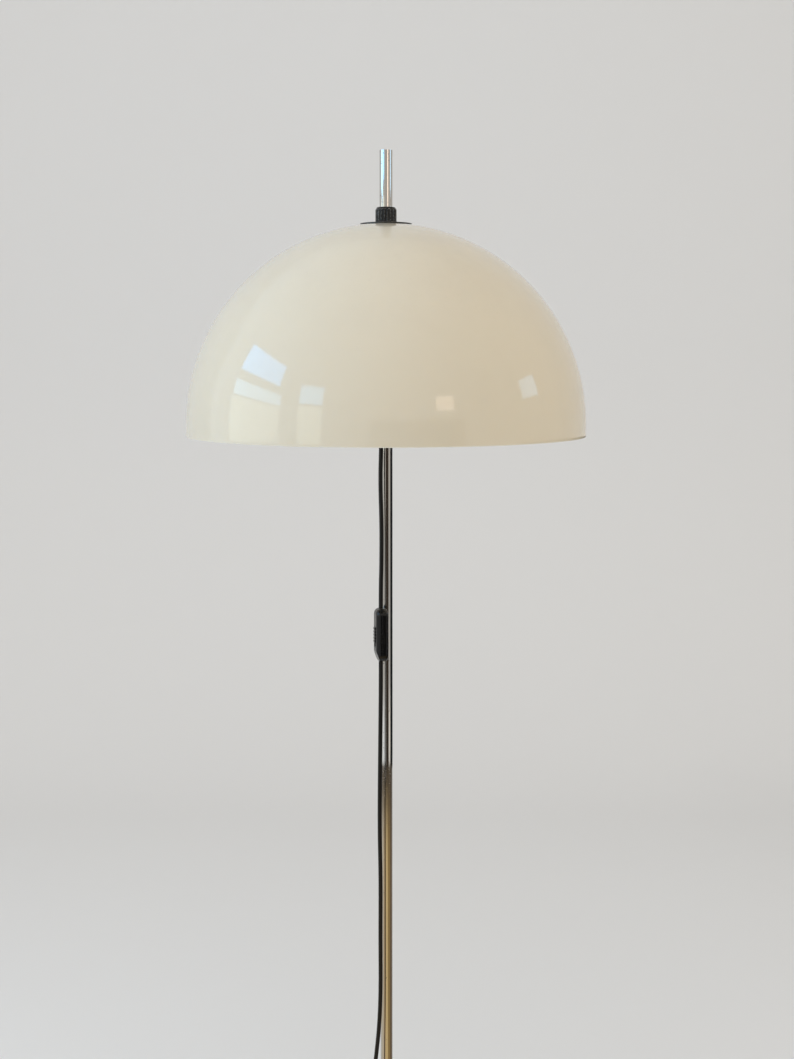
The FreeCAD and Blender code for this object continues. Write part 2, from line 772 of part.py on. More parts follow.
def build_box():
    body = new_body("junction_box")
    pad(body, "outside", rectangle(box_length, box_width, box_corner), box_height)
    inside = rectangle(box_length - box_wall * 2, box_width - box_wall * 2, box_corner - box_wall)
    pocket(body, "inside", inside, box_height - box_wall)
    posts = new_sketch(body, "posts", "XY_Plane")
    for across, up in post_spots:
        draw_circle(posts, across, up, post_diameter / 2)
    extrude(body, "Pad", posts, box_height - box_wall / 2)
    drill(body, "screw_holes", post_spots, screw_diameter / 2 + fit_gap, screw_length + cut_margin)
    drill(body, "hub_hole", [(0, 0)], hub_radius + fit_gap, box_height + cut_margin)
    sides = new_sketch(body, "nipple_holes", "YZ_Plane")
    draw_circle(sides, 0, box_height / 2, nipple_diameter / 2 + fit_gap)
    through = extrude(body, "Pocket", sides, box_length + cut_margin * 2)
    through.Midplane = True
    keep(place(body, z=box_bottom))

    cover = new_body("junction_cover")
    pad(cover, "plate", rectangle(box_length, box_width, box_corner), cover_thickness)
    drill(cover, "rod_hole", [(0, 0)], rod_radius + cover_rod_clearance, cover_thickness)
    drill(cover, "gland_hole", [(gland_x, gland_y)], gland_neck_diameter / 2 + fit_gap, cover_thickness)
    drill(cover, "screw_holes", post_spots, screw_diameter / 2 + fit_gap, cover_thickness)
    keep(place(cover, z=box_bottom - cover_thickness))

    screws = []
    for number, (across, up) in enumerate(post_spots, 1):
        screws.append(screw(f"cover_screw_{number}", x=across, y=up, z=box_bottom - cover_thickness))
    keep(group("cover_screws", *screws))


def screw(name, **spot):
    """A pan-head screw with its head under z = 0 and its shank up."""
    head = screw_head_diameter / 2
    shank = screw_diameter / 2
    return turned(name, [
        Corner(0, -screw_head_height),
        Corner(head, -screw_head_height, rounding=screw_head_rounding),
        Corner(head, 0),
        Corner(shank, 0),
        Corner(shank, screw_length),
        Corner(0, screw_length),
    ], **spot)


def build_gland():
    neck = gland_neck_diameter / 2
    flange = gland_flange_diameter / 2
    head = flange - gland_head_inset
    tip = cord_radius + gland_tip_wall
    keep(turned("cord_gland", [
        Corner(0, -gland_length),
        Corner(tip, -gland_length),
        Corner(flange - gland_shoulder, -gland_flange_height),
        Corner(flange, -gland_flange_height, rounding=gland_rounding),
        Corner(flange, 0),
        Corner(neck, 0),
        Corner(neck, cover_thickness),
        Corner(head, cover_thickness),
        Corner(head, cover_thickness + gland_head_height, rounding=gland_head_rounding),
        Corner(0, cover_thickness + gland_head_height),
    ], x=gland_x, y=gland_y, z=box_bottom - cover_thickness))


def build_wiring():
    back = box_width / 2 - box_wall - fit_gap
    front = back - terminal_depth
    bottom = box_bottom + terminal_rise
    strip = block("terminal_strip", terminal_length, terminal_depth, terminal_height,
                  x=-terminal_length / 2, y=front, z=bottom)
    holes, screws = [], []
    for column in (-1, 1):
        for row in (-1, 1):
            spot = {
                "x": column * terminal_length / 4,
                "y": front + terminal_depth / 2 + row * terminal_depth / 4,
                "z": bottom,
            }
            name = f"terminal_{column}_{row}".replace("-", "m")
            holes.append(cylinder(f"{name}_hole", terminal_screw_diameter / 2 + fit_gap,
                                  terminal_screw_length, **spot))
            screws.append(cylinder(f"{name}_screw", terminal_screw_diameter / 2,
                                   terminal_screw_length, **spot))
    keep(cut("terminal_block", strip, *holes))
    keep(group("terminal_screws", *screws))

    # The two cores of the cord rise from the gland, lean back and enter the strip's front.
    apart = core_spacing.number / 2
    level = (bottom + terminal_height / 2).number
    face = front.number
    sheath_top = (box_bottom + gland_head_height).number
    across = -terminal_length.number / 4
    beside_rod = -(hub_radius + core_diameter * 2).number
    wires = []
    for side in (-1, 1):
        start_x = gland_x + side * apart
        end_x = across + side * core_spacing.number
        height = level + side * apart
        route = [
            (start_x, gland_y, sheath_top),
            (start_x, gland_y, sheath_top + (level - sheath_top) * 0.9),
            (beside_rod + side * apart, gland_y * 0.1, height - 2),
            (end_x, face - core_run.number * 0.5, height),
            (end_x, face, height),
        ]
        wires.append(wire(f"supply_core_{side + 2}", route))
    keep(group("supply_leads", *wires))

    # Two cores leave each end of the strip and turn into the nipple of the lampholder.
    height = holder_height.number
    run = core_run.number
    start_x = terminal_length.number / 2
    mouth = (box_length / 2 - box_wall - nipple_inside).number
    bend_x = mouth - core_bend.number
    far = (box_length / 2 + holder_cap_length - holder_core_thickness).number
    middle = (front + terminal_depth / 2).number
    wires = []
    for side, name in ((-1, "left"), (1, "right")):
        for row in (-1, 1):
            deep = middle + row * terminal_core_spacing.number / 2
            low = level + row * apart
            high = height + row * apart
            turn_x = start_x + run + (bend_x - start_x - run) * 0.6
            route = [
                (side * start_x, deep, low),
                (side * (start_x + run), deep, low),
                (side * turn_x, deep * 0.4, low + (high - low) * 0.75),
                (side * bend_x, 0, high),
                (side * far, 0, high),
            ]
            wires.append(wire(f"{name}_core_{row + 2}", route))
    keep(group("holder_leads", *wires))


def wire(name, points):
    path, _ = rounded_path([Vector(*point) for point in points])
    return solid_feature(name, tube(path, core_diameter.number / 2))


# ---- lampholders and bulbs -------------------------------------------------------------
def build_holder(name, side):
    outward = Rotation(Vector(0, 1, 0), 90 * side)
    wall = side * box_length / 2

    def along(distance):
        return {"x": wall + side * distance, "z": holder_height, "rotation": outward}

    outer = holder_diameter / 2
    back = holder_back_diameter / 2
    hole = nipple_diameter / 2 + fit_gap
    barrel_start = holder_cap_length + fit_gap
    nipple = tube_ring(f"{name}_nipple", nipple_bore / 2, nipple_diameter / 2, nipple_length,
                       **along(-(box_wall + nipple_inside)))
    blank = hexagon(f"{name}_nipple_nut_blank", nipple_nut_width, nipple_nut_thickness,
                    **along(-(box_wall + nipple_nut_thickness)))
    bored = cylinder(f"{name}_nipple_nut_bore", hole, nipple_nut_thickness,
                     **along(-(box_wall + nipple_nut_thickness)))
    nut = cut(f"{name}_nipple_nut", blank, bored)

    keep(turned(f"{name}_holder_cap", [
        Corner(hole, 0),
        Corner(back, 0),
        Corner(outer, holder_cap_length / 2, rounding=holder_back_rounding),
        Corner(outer, holder_cap_length),
        Corner(outer - holder_wall, holder_cap_length),
        Corner(outer - holder_wall, holder_cap_length / 2 + holder_shoulder,
               rounding=holder_inner_rounding),
        Corner(back - holder_wall / 2, holder_floor),
        Corner(hole, holder_floor),
    ], **along(0)))

    core_start = holder_cap_length - holder_core_thickness
    keep(turned(f"{name}_holder_core", [
        Corner(0, 0),
        Corner(outer - holder_wall - fit_gap, 0),
        Corner(outer - holder_wall - fit_gap, holder_core_thickness),
        Corner(0, holder_core_thickness),
    ], **along(core_start)))

    contact = contact_diameter / 2
    keep(turned(f"{name}_holder_contact", [
        Corner(0, 0),
        Corner(contact, 0),
        Corner(contact, contact_height - contact_tip),
        Corner(contact / 2, contact_height),
        Corner(0, contact_height),
    ], **along(holder_cap_length)))

    shell = shell_diameter / 2
    keep(turned(f"{name}_holder_barrel", [
        Corner(contact + contact_clearance, 0),
        Corner(outer, 0),
        Corner(outer, holder_barrel_length - holder_mouth_length),
        Corner(outer - holder_mouth, holder_barrel_length, rounding=holder_mouth),
        Corner(shell + fit_gap, holder_barrel_length),
        Corner(shell + fit_gap, barrel_floor),
        Corner(contact + contact_clearance, barrel_floor),
    ], **along(barrel_start)))

    shell_start = barrel_start + barrel_floor + fit_gap
    keep(tube_ring(f"{name}_thread_shell", shell - shell_thickness, shell,
                   holder_barrel_length - barrel_floor - shell_mouth, **along(shell_start)))

    ring = outer + fit_gap
    keep(turned(f"{name}_holder_ring", [
        Corner(ring, 0),
        Corner(ring + ring_height, 0, rounding=ring_rounding),
        Corner(ring + ring_height, ring_width, rounding=ring_rounding),
        Corner(ring, ring_width),
    ], **along(ring_place)))

    build_bulb(name, along(holder_cap_length + contact_height))
    return nipple, nut


def build_bulb(name, spot):
    cap = bulb_cap_diameter / 2
    keep(turned(f"{name}_bulb_cap", [
        Corner(0, 0),
        Corner(cap / 3, 0),
        Corner(cap / 2, bulb_tip_height),
        Corner(cap - bulb_cone_edge, bulb_cone_height),
        Corner(cap, bulb_cone_height + bulb_cone_edge),
        Corner(cap, bulb_cap_length),
        Corner(0, bulb_cap_length),
    ], **spot))

    # The neck is an arc that meets the globe in line, 0.8 of its radius off the axis.
    globe = bulb_diameter / 2
    inner = globe - bulb_wall
    centre = bulb_length - globe
    neck = cap - bulb_wall / 2
    join_across, join_below = 0.8, 0.6
    outside = (globe * join_across, centre - globe * join_below)
    inside = (inner * join_across, centre - inner * join_below)
    step = outside[0] - neck
    rise = outside[1] - bulb_cap_length
    neck_bow = (step * step + rise * rise) / ((rise * join_below - step * join_across) * 2)
    keep(turned(f"{name}_bulb_glass", [
        Corner(neck - bulb_wall, bulb_cap_length),
        Corner(neck, bulb_cap_length, bow=-neck_bow),
        Corner(*outside, bow=globe),
        Corner(0, bulb_length),
        Corner(0, bulb_length - bulb_wall, bow=-inner),
        Corner(*inside, bow=neck_bow + bulb_wall),
    ], **spot))


# ---- cord ------------------------------------------------------------------------------
switch_x = -6.8
switch_y = -22.5
cord_end_inset = 10

# The free cord from the gland down to the switch.
upper_route = [
    (gland_x, gland_y, gland_bottom.number),
    (gland_x, gland_y, 1150),
    (-5.9, -15.9, 1092),
    (-7.4, -17.0, 1044),
    (-5.7, -19.2, 990),
    (-5.9, -21.3, 938),
    (switch_x, switch_y, 908),
    (switch_x, switch_y, (switch_height + switch_length / 2).number - cord_end_inset),
]

# The free cord from the switch down to where it starts to lie still, which shortens and
# stretches as the head slides, and the cord from there over the foot and along the floor.
lower_route = [
    (switch_x, switch_y, (switch_height - switch_length / 2).number + cord_end_inset),
    (switch_x, switch_y, 790),
    (-7.3, -22.5, 742),
    (-8.1, -22.6, 672),
    (-8.7, -22.5, 598),
    (-7.3, -22.6, 530),
    (-7.8, -22.6, 455),
    (-7.4, -22.9, 385),
    (-9.2, -23.2, 336),
    (-13.8, -24.0, 290),
    (-19.6, -25.2, 244),
    (-26.5, -27.0, 196),
    (-30.5, -28.2, 172),
]
floor_route = [
    lower_route[-1],
    (-34.5, -29.4, 148),
    (-45.5, -32.4, 104),
    (-62.0, -37.6, 66),
    (-86.0, -46.0, 37),
    (-113.0, -57.0, 28.5),
    (-137.0, -66.5, 23.5),
    (-158.0, -73.0, 11),
]
coil_x = -200
coil_y = -14
entry_run = 29

# ---- coil of the length that is put away -----------------------------------------------
coil_mean_radius = size("coil_mean_radius", 31)
coil_turn_gap = size("coil_turn_gap", 0.5)
coil_pitch = cord_diameter + coil_turn_gap
coil_turns = 8.25
turns_in_layer = 2
coil_layers = 4
coil_start_angle = -120
coil_lift = tie_thickness + fit_gap


def coil_spot(turn):
    """A point of the coil: it spirals in and out by turns and climbs where it reverses."""
    pitch = coil_pitch.number
    layer = min(int(turn // turns_in_layer), coil_layers - 1)
    across = turn - layer * turns_in_layer - turns_in_layer / 2
    spread = across if layer % 2 else -across
    radius = coil_mean_radius.number + pitch * spread
    nearest = round(turn / turns_in_layer)
    climb = min(max((turn - nearest * turns_in_layer) * 2 + 0.5, 0), 1)
    inner = 0 < nearest < coil_layers
    level = (nearest - 1 + climb) if inner else layer
    angle = math.radians(coil_start_angle - 360 * turn)
    height = coil_lift.number + cord_radius.number + pitch * level
    return Vector(coil_x + radius * math.cos(angle), coil_y + radius * math.sin(angle), height)


def coil_way(turn):
    step = 1e-4
    return (coil_spot(turn + step) - coil_spot(turn - step if turn > step else turn)).normalize()


def biarc(start, way_in, finish, way_out):
    """Two arcs that leave start along way_in and reach finish along way_out."""
    gap = finish - start
    ways = way_in + way_out
    spread = 2 * (1 - way_in.dot(way_out))
    reach = (math.sqrt(gap.dot(ways) ** 2 + spread * gap.dot(gap)) - gap.dot(ways)) / spread
    first = start + way_in * reach
    second = finish - way_out * reach
    middle = (first + second) / 2
    return [corner_arc(start, first, middle), corner_arc(middle, second, finish)]


def build_coil():
    quarters = round(coil_turns * 4)
    turns = [quarter / 4 for quarter in range(quarters + 1)]
    lead = cord_diameter.number
    spots = [coil_spot(turn) for turn in turns]
    ways = [coil_way(turn) for turn in turns]
    edges = [Part.LineSegment(spots[0] - ways[0] * lead, spots[0]).toShape()]
    for i in range(quarters):
        edges += biarc(spots[i], ways[i], spots[i + 1], ways[i + 1])
    end = spots[-1] + ways[-1] * lead
    edges.append(Part.LineSegment(spots[-1], end).toShape())
    path = Part.Wire(edges)
    solid = tube(path, cord_radius.number)

    steps = 96
    samples = [coil_spot(i / steps) for i in range(int(coil_turns * steps) + 1)]
    least = math.inf
    for i, spot in enumerate(samples):
        for other in samples[i + steps // 2:]:
            least = min(least, (other - spot).Length)
    share = solid.Volume / (math.pi * cord_radius.number ** 2 * path.Length)
    print(f"cord_coil: {path.Length:.0f} mm long, least gap {least - cord_diameter.number:.2f} mm, "
          f"volume share {share:.4f}")
    keep(solid_feature("cord_coil", solid))
    return spots[0] - ways[0] * lead, ways[0], end, ways[-1]


def build_tie():
    """A flat strap round all the turns, on the side where none of them climbs."""
    pitch = coil_pitch.number
    inner = coil_mean_radius - pitch / 2 - cord_radius - tie_margin
    outer = coil_mean_radius + pitch / 2 + cord_radius + tie_margin
    height = coil_lift + cord_diameter + pitch * (coil_layers - 1) + fit_gap
    strap = block("tie_strap", outer - inner + tie_thickness * 2, tie_width, height + tie_thickness,
                  x=inner - tie_thickness, y=-tie_width / 2)
    space = block("tie_space", outer - inner, tie_width + cut_margin * 2, height - tie_thickness,
                  x=inner, y=-tie_width / 2 - cut_margin, z=tie_thickness)
    ring = cut("tie_ring", strap, space)
    away = Rotation(Vector(0, 0, 1), coil_start_angle + 180)
    keep(place(group("cord_tie", ring), coil_x, coil_y, 0, away))


def build_plug(start, way):
    aim = Rotation(Vector(0, 0, 1), way)
    sleeve = plug_sleeve_length
    wide = plug_diameter / 2
    narrow = plug_sleeve_diameter / 2

    def at(distance):
        spot = start + way * as_size(distance).number
        return {"x": spot.x, "y": spot.y, "z": spot.z, "rotation": aim}

    keep(turned("plug_sleeve", [
        Corner(0, 0),
        Corner(cord_radius + gland_tip_wall, 0, rounding=plug_sleeve_rounding),
        Corner(narrow, sleeve),
        Corner(0, sleeve),
    ], **at(0)))
    keep(turned("plug_body", [
        Corner(0, 0),
        Corner(narrow + plug_collar, 0, rounding=plug_edge_rounding),
        Corner(wide, plug_shoulder, rounding=plug_shoulder_rounding),
        Corner(wide, plug_body_length, rounding=plug_edge_rounding),
        Corner(0, plug_body_length),
    ], **at(sleeve)))
    pins = []
    for side in (-1, 1):
        pin = turned(f"plug_pin_{side + 2}", [
            Corner(0, 0),
            Corner(pin_diameter / 2, 0),
            Corner(pin_diameter / 2, pin_length, rounding=pin_rounding),
            Corner(0, pin_length),
        ])
        face = start + way * (sleeve + plug_body_length).number
        spot = face + Vector(-way.y, way.x, 0).normalize() * (side * pin_spacing.number / 2)
        pins.append(place(pin, spot.x, spot.y, spot.z, aim))
    keep(group("plug_pins", *pins))


# ---- in-line switch --------------------------------------------------------------------
# Built with its slider face towards +X and its cord along Z, then turned to its place.
switch_spot = {
    "x": switch_x,
    "y": switch_y,
    "z": switch_height,
    "rotation": Rotation(Vector(0, 0, 1), 180 + switch_turn),
}
slot_gap = seat_gap


def build_shell(name, front):
    half = switch_thickness / 2
    body = new_body(name)
    outline = rectangle(switch_width, switch_length, switch_corner)
    outside = pad(body, "outside", outline, half, "YZ_Plane", reverse=not front)
    document.recompute()
    face = half.number if front else -half.number
    edges = []
    for number, edge in enumerate(outside.Shape.Edges, 1):
        if all(abs(vertex.X - face) < 1e-6 for vertex in edge.Vertexes):
            edges.append(f"Edge{number}")
    fillet = body.newObject("PartDesign::Fillet", f"{name}_edge")
    fillet.Base = (outside, edges)
    bind(fillet, "Radius", switch_face_edge if front else switch_back_edge)
    if front:
        end = switch_length / 2
        flat = half - switch_taper_depth
        taper = [Corner(half, switch_taper_length - end), Corner(flat, -end),
                 Corner(flat, -end - cut_margin), Corner(half + cut_margin, -end - cut_margin),
                 Corner(half + cut_margin, switch_taper_length - end)]
        pocket(body, "taper", taper, switch_width + cut_margin * 2, "XZ_Plane").Midplane = True
    pocket(body, "cavity", rectangle(cavity_width, cavity_length), half - switch_wall,
           "YZ_Plane", reverse=front)
    channel = new_sketch(body, "channel", "XY_Plane")
    draw_circle(channel, 0, 0, cord_radius + channel_gap)
    extrude(body, "Pocket", channel, switch_length + cut_margin * 2).Midplane = True
    screws = [(switch_screw_side, switch_screw_place), (-switch_screw_side, -switch_screw_place)]
    head_depth = screw_head_height + switch_screw_recess
    depth = screw_length + head_depth + seat_gap - half if front else half
    drill(body, "screw_holes", screws, screw_diameter / 2 + fit_gap, depth, "YZ_Plane", reverse=front)
    if front:
        across, up = (slider_width / 2 + slot_gap), (slider_length / 2 + slot_gap)
        slot = [Corner(-across, -up - slider_travel), Corner(across, -up - slider_travel),
                Corner(across, up), Corner(-across, up)]
        pocket(body, "slot", slot, half + cut_margin, "YZ_Plane")
    else:
        drill(body, "screw_heads", screws, screw_head_diameter / 2 + fit_gap, head_depth,
              "YZ_Plane", offset=-half, reverse=True)
    return place(body, **switch_spot)


def in_switch(name, thing):
    """Turn a piece that was built about the switch's own centre to its place."""
    moved = group(name, thing)
    return place(moved, **switch_spot)


def build_switch():
    keep(build_shell("switch_front_shell", True), build_shell("switch_back_shell", False))
    half = switch_thickness / 2
    plate_top = half - switch_wall - seat_gap

    slider_top = half + slider_stand
    plate = block("slider_plate_part", slider_plate, slider_width + slider_plate_margin * 2,
                  slider_length + slider_plate_margin * 2, x=plate_top - slider_plate,
                  y=-slider_width / 2 - slider_plate_margin, z=-slider_length / 2 - slider_plate_margin)
    stem = block("slider_stem", slider_top - plate_top, slider_width, slider_length,
                 x=plate_top, y=-slider_width / 2, z=-slider_length / 2)
    ridges = []
    for number in range(ridge_count):
        middle = (number - (ridge_count - 1) / 2) * ridge_pitch
        ridges.append(block(f"slider_ridge_{number + 1}", ridge_height, slider_width, ridge_width,
                            x=slider_top, y=-slider_width / 2, z=middle - ridge_width / 2))
    keep(in_switch("switch_slider", fuse("switch_slider_solid", plate, stem, *ridges)))

    bridge_x = plate_top - slider_plate - bridge_thickness
    bridge = block("bridge_bar", bridge_thickness, bridge_width, bridge_length,
                   x=bridge_x, y=-bridge_width / 2, z=-bridge_length / 2)
    keep(in_switch("switch_bridge", bridge))

    floor = -(half - switch_wall)
    strip_x = bridge_x - seat_gap - strip_thickness
    contacts = []
    for side, name in ((1, "upper"), (-1, "lower")):
        middle = side * (cavity_length / 2 - seat_gap - post_length / 2)
        post = block(f"{name}_post", strip_x - floor, post_width, post_length,
                     x=floor, y=-post_width / 2, z=middle - post_length / 2)
        reach = cavity_length / 2 - seat_gap - contact_gap / 2
        start = contact_gap / 2 if side > 0 else -contact_gap / 2 - reach
        strip = block(f"{name}_strip", strip_thickness, bridge_width, reach, x=strip_x,
                      y=-bridge_width / 2, z=start)
        contacts.append(fuse(f"{name}_contact", post, strip))
    keep(in_switch("switch_contacts", group("switch_contact_pair", *contacts)))

    leads = []
    post_face = cavity_length / 2 - seat_gap
    cord_end = switch_length / 2 - cord_end_inset
    for side, name in ((1, "upper"), (-1, "lower")):
        for row in (-1, 1):
            start = post_face if side > 0 else -cord_end
            leads.append(cylinder(f"{name}_lead_{row + 2}", core_diameter / 2, cord_end - post_face,
                                  y=row * core_spacing / 2, z=start))
    keep(in_switch("switch_leads", group("switch_lead_set", *leads)))

    screws = []
    to_front = Rotation(Vector(0, 1, 0), 90)
    for side in (-1, 1):
        screws.append(screw(f"switch_screw_{side + 2}", x=screw_head_height + switch_screw_recess - half,
                            y=side * switch_screw_side, z=side * switch_screw_place, rotation=to_front))
    keep(in_switch("switch_screws", group("switch_screw_pair", *screws)))


build_foot()
build_rod()
build_hub()
build_shade()
build_knob()
build_box()
build_gland()
build_wiring()
left_nipple, left_nut = build_holder("left", -1)
right_nipple, right_nut = build_holder("right", 1)
keep(group("holder_nipples", left_nipple, right_nipple))
keep(group("nipple_nuts", left_nut, right_nut))
build_switch()

keep(cord_feature("cord_upper", upper_route, cord_radius.number))
coil_entry, entry_way, coil_exit, exit_way = build_coil()
floor_route.append(tuple(coil_entry - entry_way * entry_run))
floor_route.append(tuple(coil_entry))
keep(cord_feature("cord_lower", lower_route, cord_radius.number))
keep(cord_feature("cord_floor", floor_route, cord_radius.number))
build_tie()
build_plug(coil_exit, exit_way)

document.recompute()

# ---- checks and export -----------------------------------------------------------------
for thing in document.Objects:
    if "Invalid" in thing.State or "Error" in thing.State:
        raise RuntimeError(f"{thing.Name} failed: {thing.State}")
for piece in pieces:
    if piece.Shape.isNull() or not piece.Shape.isValid() or not piece.Shape.Solids:
        raise RuntimeError(f"{piece.Label} has no valid solid")

os.makedirs("parts", exist_ok=True)
for piece in pieces:
    piece.Shape.exportStep(f"parts/{piece.Label}.step")
print(f"{len(pieces)} pieces written")
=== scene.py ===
import json
import math

import bmesh
import bpy
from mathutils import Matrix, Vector


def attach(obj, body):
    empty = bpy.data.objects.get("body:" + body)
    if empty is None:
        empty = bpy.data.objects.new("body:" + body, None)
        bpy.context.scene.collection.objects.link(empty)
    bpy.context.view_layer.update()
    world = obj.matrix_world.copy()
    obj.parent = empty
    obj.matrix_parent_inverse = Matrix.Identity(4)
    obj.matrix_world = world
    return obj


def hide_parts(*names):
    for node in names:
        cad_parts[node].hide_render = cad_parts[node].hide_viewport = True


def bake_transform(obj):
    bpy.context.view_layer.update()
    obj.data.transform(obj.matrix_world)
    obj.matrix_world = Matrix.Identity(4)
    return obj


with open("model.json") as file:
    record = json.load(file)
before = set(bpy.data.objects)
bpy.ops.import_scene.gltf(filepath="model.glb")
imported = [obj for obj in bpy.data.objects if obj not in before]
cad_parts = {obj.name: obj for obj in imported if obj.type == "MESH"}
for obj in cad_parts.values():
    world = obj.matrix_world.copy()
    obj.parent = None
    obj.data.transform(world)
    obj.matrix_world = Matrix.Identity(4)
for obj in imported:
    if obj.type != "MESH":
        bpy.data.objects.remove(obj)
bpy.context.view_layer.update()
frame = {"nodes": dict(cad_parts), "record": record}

# Mushroom floor lamp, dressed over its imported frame. Metres, floor at z = 0, front at -Y.
scene = bpy.context.scene
scene.view_settings.view_transform = "Standard"
print("frame loaded:", len(frame["nodes"]), "pieces")


# The viewpoint of the picture: a little above the rim, looking slightly down.
viewpoint = {
    "place": (0.0136, -1.999, 1.211),
    "tiltDown": 6.6,  # degrees
    "focalPixels": 1590,
    "longSide": 1059,  # pixels of the picture's long side
    "sensor": 36,
    "clip": (0.05, 60),
}


def addCamera():
    lens = bpy.data.cameras.new("viewCamera")
    lens.sensor_width = viewpoint["sensor"]
    lens.lens = viewpoint["sensor"] * viewpoint["focalPixels"] / viewpoint["longSide"]
    lens.clip_start, lens.clip_end = viewpoint["clip"]
    camera = bpy.data.objects.new("viewCamera", lens)
    camera.location = viewpoint["place"]
    camera.rotation_euler = (math.radians(90 - viewpoint["tiltDown"]), 0, 0)
    scene.collection.objects.link(camera)
    scene.camera = camera


addCamera()
print("camera placed")


def addPiece(name, mesh):
    piece = bpy.data.objects.new(name, mesh)
    scene.collection.objects.link(piece)
    return piece


# Faces smooth, with an edge kept crisp where two faces meet at more than the crease angle.
def finishMesh(name, work, crease):
    mesh = bpy.data.meshes.new(name)
    bmesh.ops.recalc_face_normals(work, faces=work.faces)
    for face in work.faces:
        face.smooth = True
    for edge in work.edges:
        if len(edge.link_faces) == 2 and edge.calc_face_angle(0) > math.radians(crease):
            edge.smooth = False
    work.to_mesh(mesh)
    work.free()
    return mesh


# A closed outline of (radius, height) points turned round the lamp's axis.
def turnOutline(name, outline, around, crease):
    work = bmesh.new()
    rings = []
    for i in range(around):
        angle = 2 * math.pi * i / around
        rings.append([work.verts.new((r * math.cos(angle), r * math.sin(angle), z)) for r, z in outline])
    for i, ring in enumerate(rings):
        after = rings[(i + 1) % around]
        for j in range(len(outline)):
            k = (j + 1) % len(outline)
            work.faces.new((ring[j], after[j], after[k], ring[k]))
    return finishMesh(name, work, crease)


# Points on an arc about (0, height), from one angle to another in degrees above level.
def arcPoints(radius, height, first, last, steps):
    found = []
    for i in range(steps + 1):
        angle = math.radians(first + (last - first) * i / steps)
        found.append((radius * math.cos(angle), height + radius * math.sin(angle)))
    return found


# The cord: hung out of the shade, through its switch, down beside the rod and over the foot,
# with the spare length wound up behind it. Heights and places are in millimetres here.
cordSizes = {
    "diameter": 5.4,
    "sides": 16,
    "stepsPerPoint": 6,
    "coilCentre": (-200, -14),
    "coilRadius": 31,
    "turnPitch": 5.9,
    "turns": 8.25,
    "pointsPerTurn": 16,
    "coilStart": -120,  # degrees
    "coilRun": 5.4,  # straight run at both ends of the coil
    "coilApproach": 29,
    "coilRest": 0.7,  # the coil's underside over the floor
    "turnsPerLayer": 2,
    "layers": 4,
    "wayStep": 0.0001,  # turns
    "crease": 60,
}

upperRoute = [
    (-6.4, -15.5, 1184.63), (-6.4, -15.5, 1150), (-5.9, -15.9, 1092), (-7.4, -17, 1044),
    (-5.7, -19.2, 990), (-5.9, -21.3, 938), (-6.8, -22.5, 908), (-6.8, -22.5, 872.65),
]

lowerRoute = [
    (-6.8, -22.5, 825.35), (-6.8, -22.5, 790), (-7.3, -22.5, 742), (-8.1, -22.6, 672),
    (-8.7, -22.5, 598), (-7.3, -22.6, 530), (-7.8, -22.6, 455), (-7.4, -22.9, 385),
    (-9.2, -23.2, 336), (-13.8, -24, 290), (-19.6, -25.2, 244), (-26.5, -27, 196),
    (-30.5, -28.2, 172), (-34.5, -29.4, 148), (-45.5, -32.4, 104), (-62, -37.6, 66),
    (-86, -46, 37), (-113, -57, 28.5), (-137, -66.5, 23.5), (-158, -73, 11),
]


# Turns go out and back in layers, one on top of the other.
def coilPoint(turn, outset=1):
    sizes = cordSizes
    perLayer, layers = sizes["turnsPerLayer"], sizes["layers"]
    layer = min(int(turn // perLayer), layers - 1)
    across = turn - perLayer * layer - perLayer / 2
    spread = across if layer % 2 else -across
    radius = (sizes["coilRadius"] + sizes["turnPitch"] * spread) * outset
    nearest = round(turn / perLayer)
    climb = min(max((turn - perLayer * nearest) * 2 + 0.5, 0), 1)  # over half a turn
    level = nearest - 1 + climb if 0 < nearest < layers else layer
    angle = math.radians(sizes["coilStart"] - 360 * turn)
    height = sizes["coilRest"] + sizes["diameter"] / 2 + sizes["turnPitch"] * level
    centre = sizes["coilCentre"]
    return Vector((centre[0] + radius * math.cos(angle), centre[1] + radius * math.sin(angle), height))


def coilWay(turn):
    step = cordSizes["wayStep"]
    return (coilPoint(turn + step) - coilPoint(max(turn - step, 0))).normalized()


# The coil with its straight ends. Its control points stand a little outside the line itself.
def coilRoute():
    sizes = cordSizes
    turns = sizes["turns"]
    count = round(turns * sizes["pointsPerTurn"])
    outset = 1 / math.cos(math.pi / sizes["pointsPerTurn"])
    entry = coilPoint(0) - coilWay(0) * sizes["coilRun"]
    end = coilPoint(turns) + coilWay(turns) * sizes["coilRun"]
    around = [coilPoint(i * turns / count, outset) for i in range(count + 1)]
    return [entry - coilWay(0) * sizes["coilApproach"], entry, *around, end]


# The smooth line that the cord follows: the route's points are the spline's control points.
def cordLine(name, points):
    line = bpy.data.curves.new(name, "CURVE")
    line.dimensions = "3D"
    line.resolution_u = cordSizes["stepsPerPoint"]
    spline = line.splines.new("NURBS")
    spline.points.add(len(points) - 1)
    for point, place in zip(spline.points, points):
        point.co = (place[0] / 1000, place[1] / 1000, place[2] / 1000, 1)
    spline.order_u = 3
    spline.use_endpoint_u = True
    holder = bpy.data.objects.new(name, line)
    scene.collection.objects.link(holder)
    bpy.context.view_layer.update()
    drawn = bpy.data.meshes.new_from_object(holder)
    path = [vertex.co.copy() for vertex in drawn.vertices]
    bpy.data.objects.remove(holder)
    bpy.data.meshes.remove(drawn)
    return path


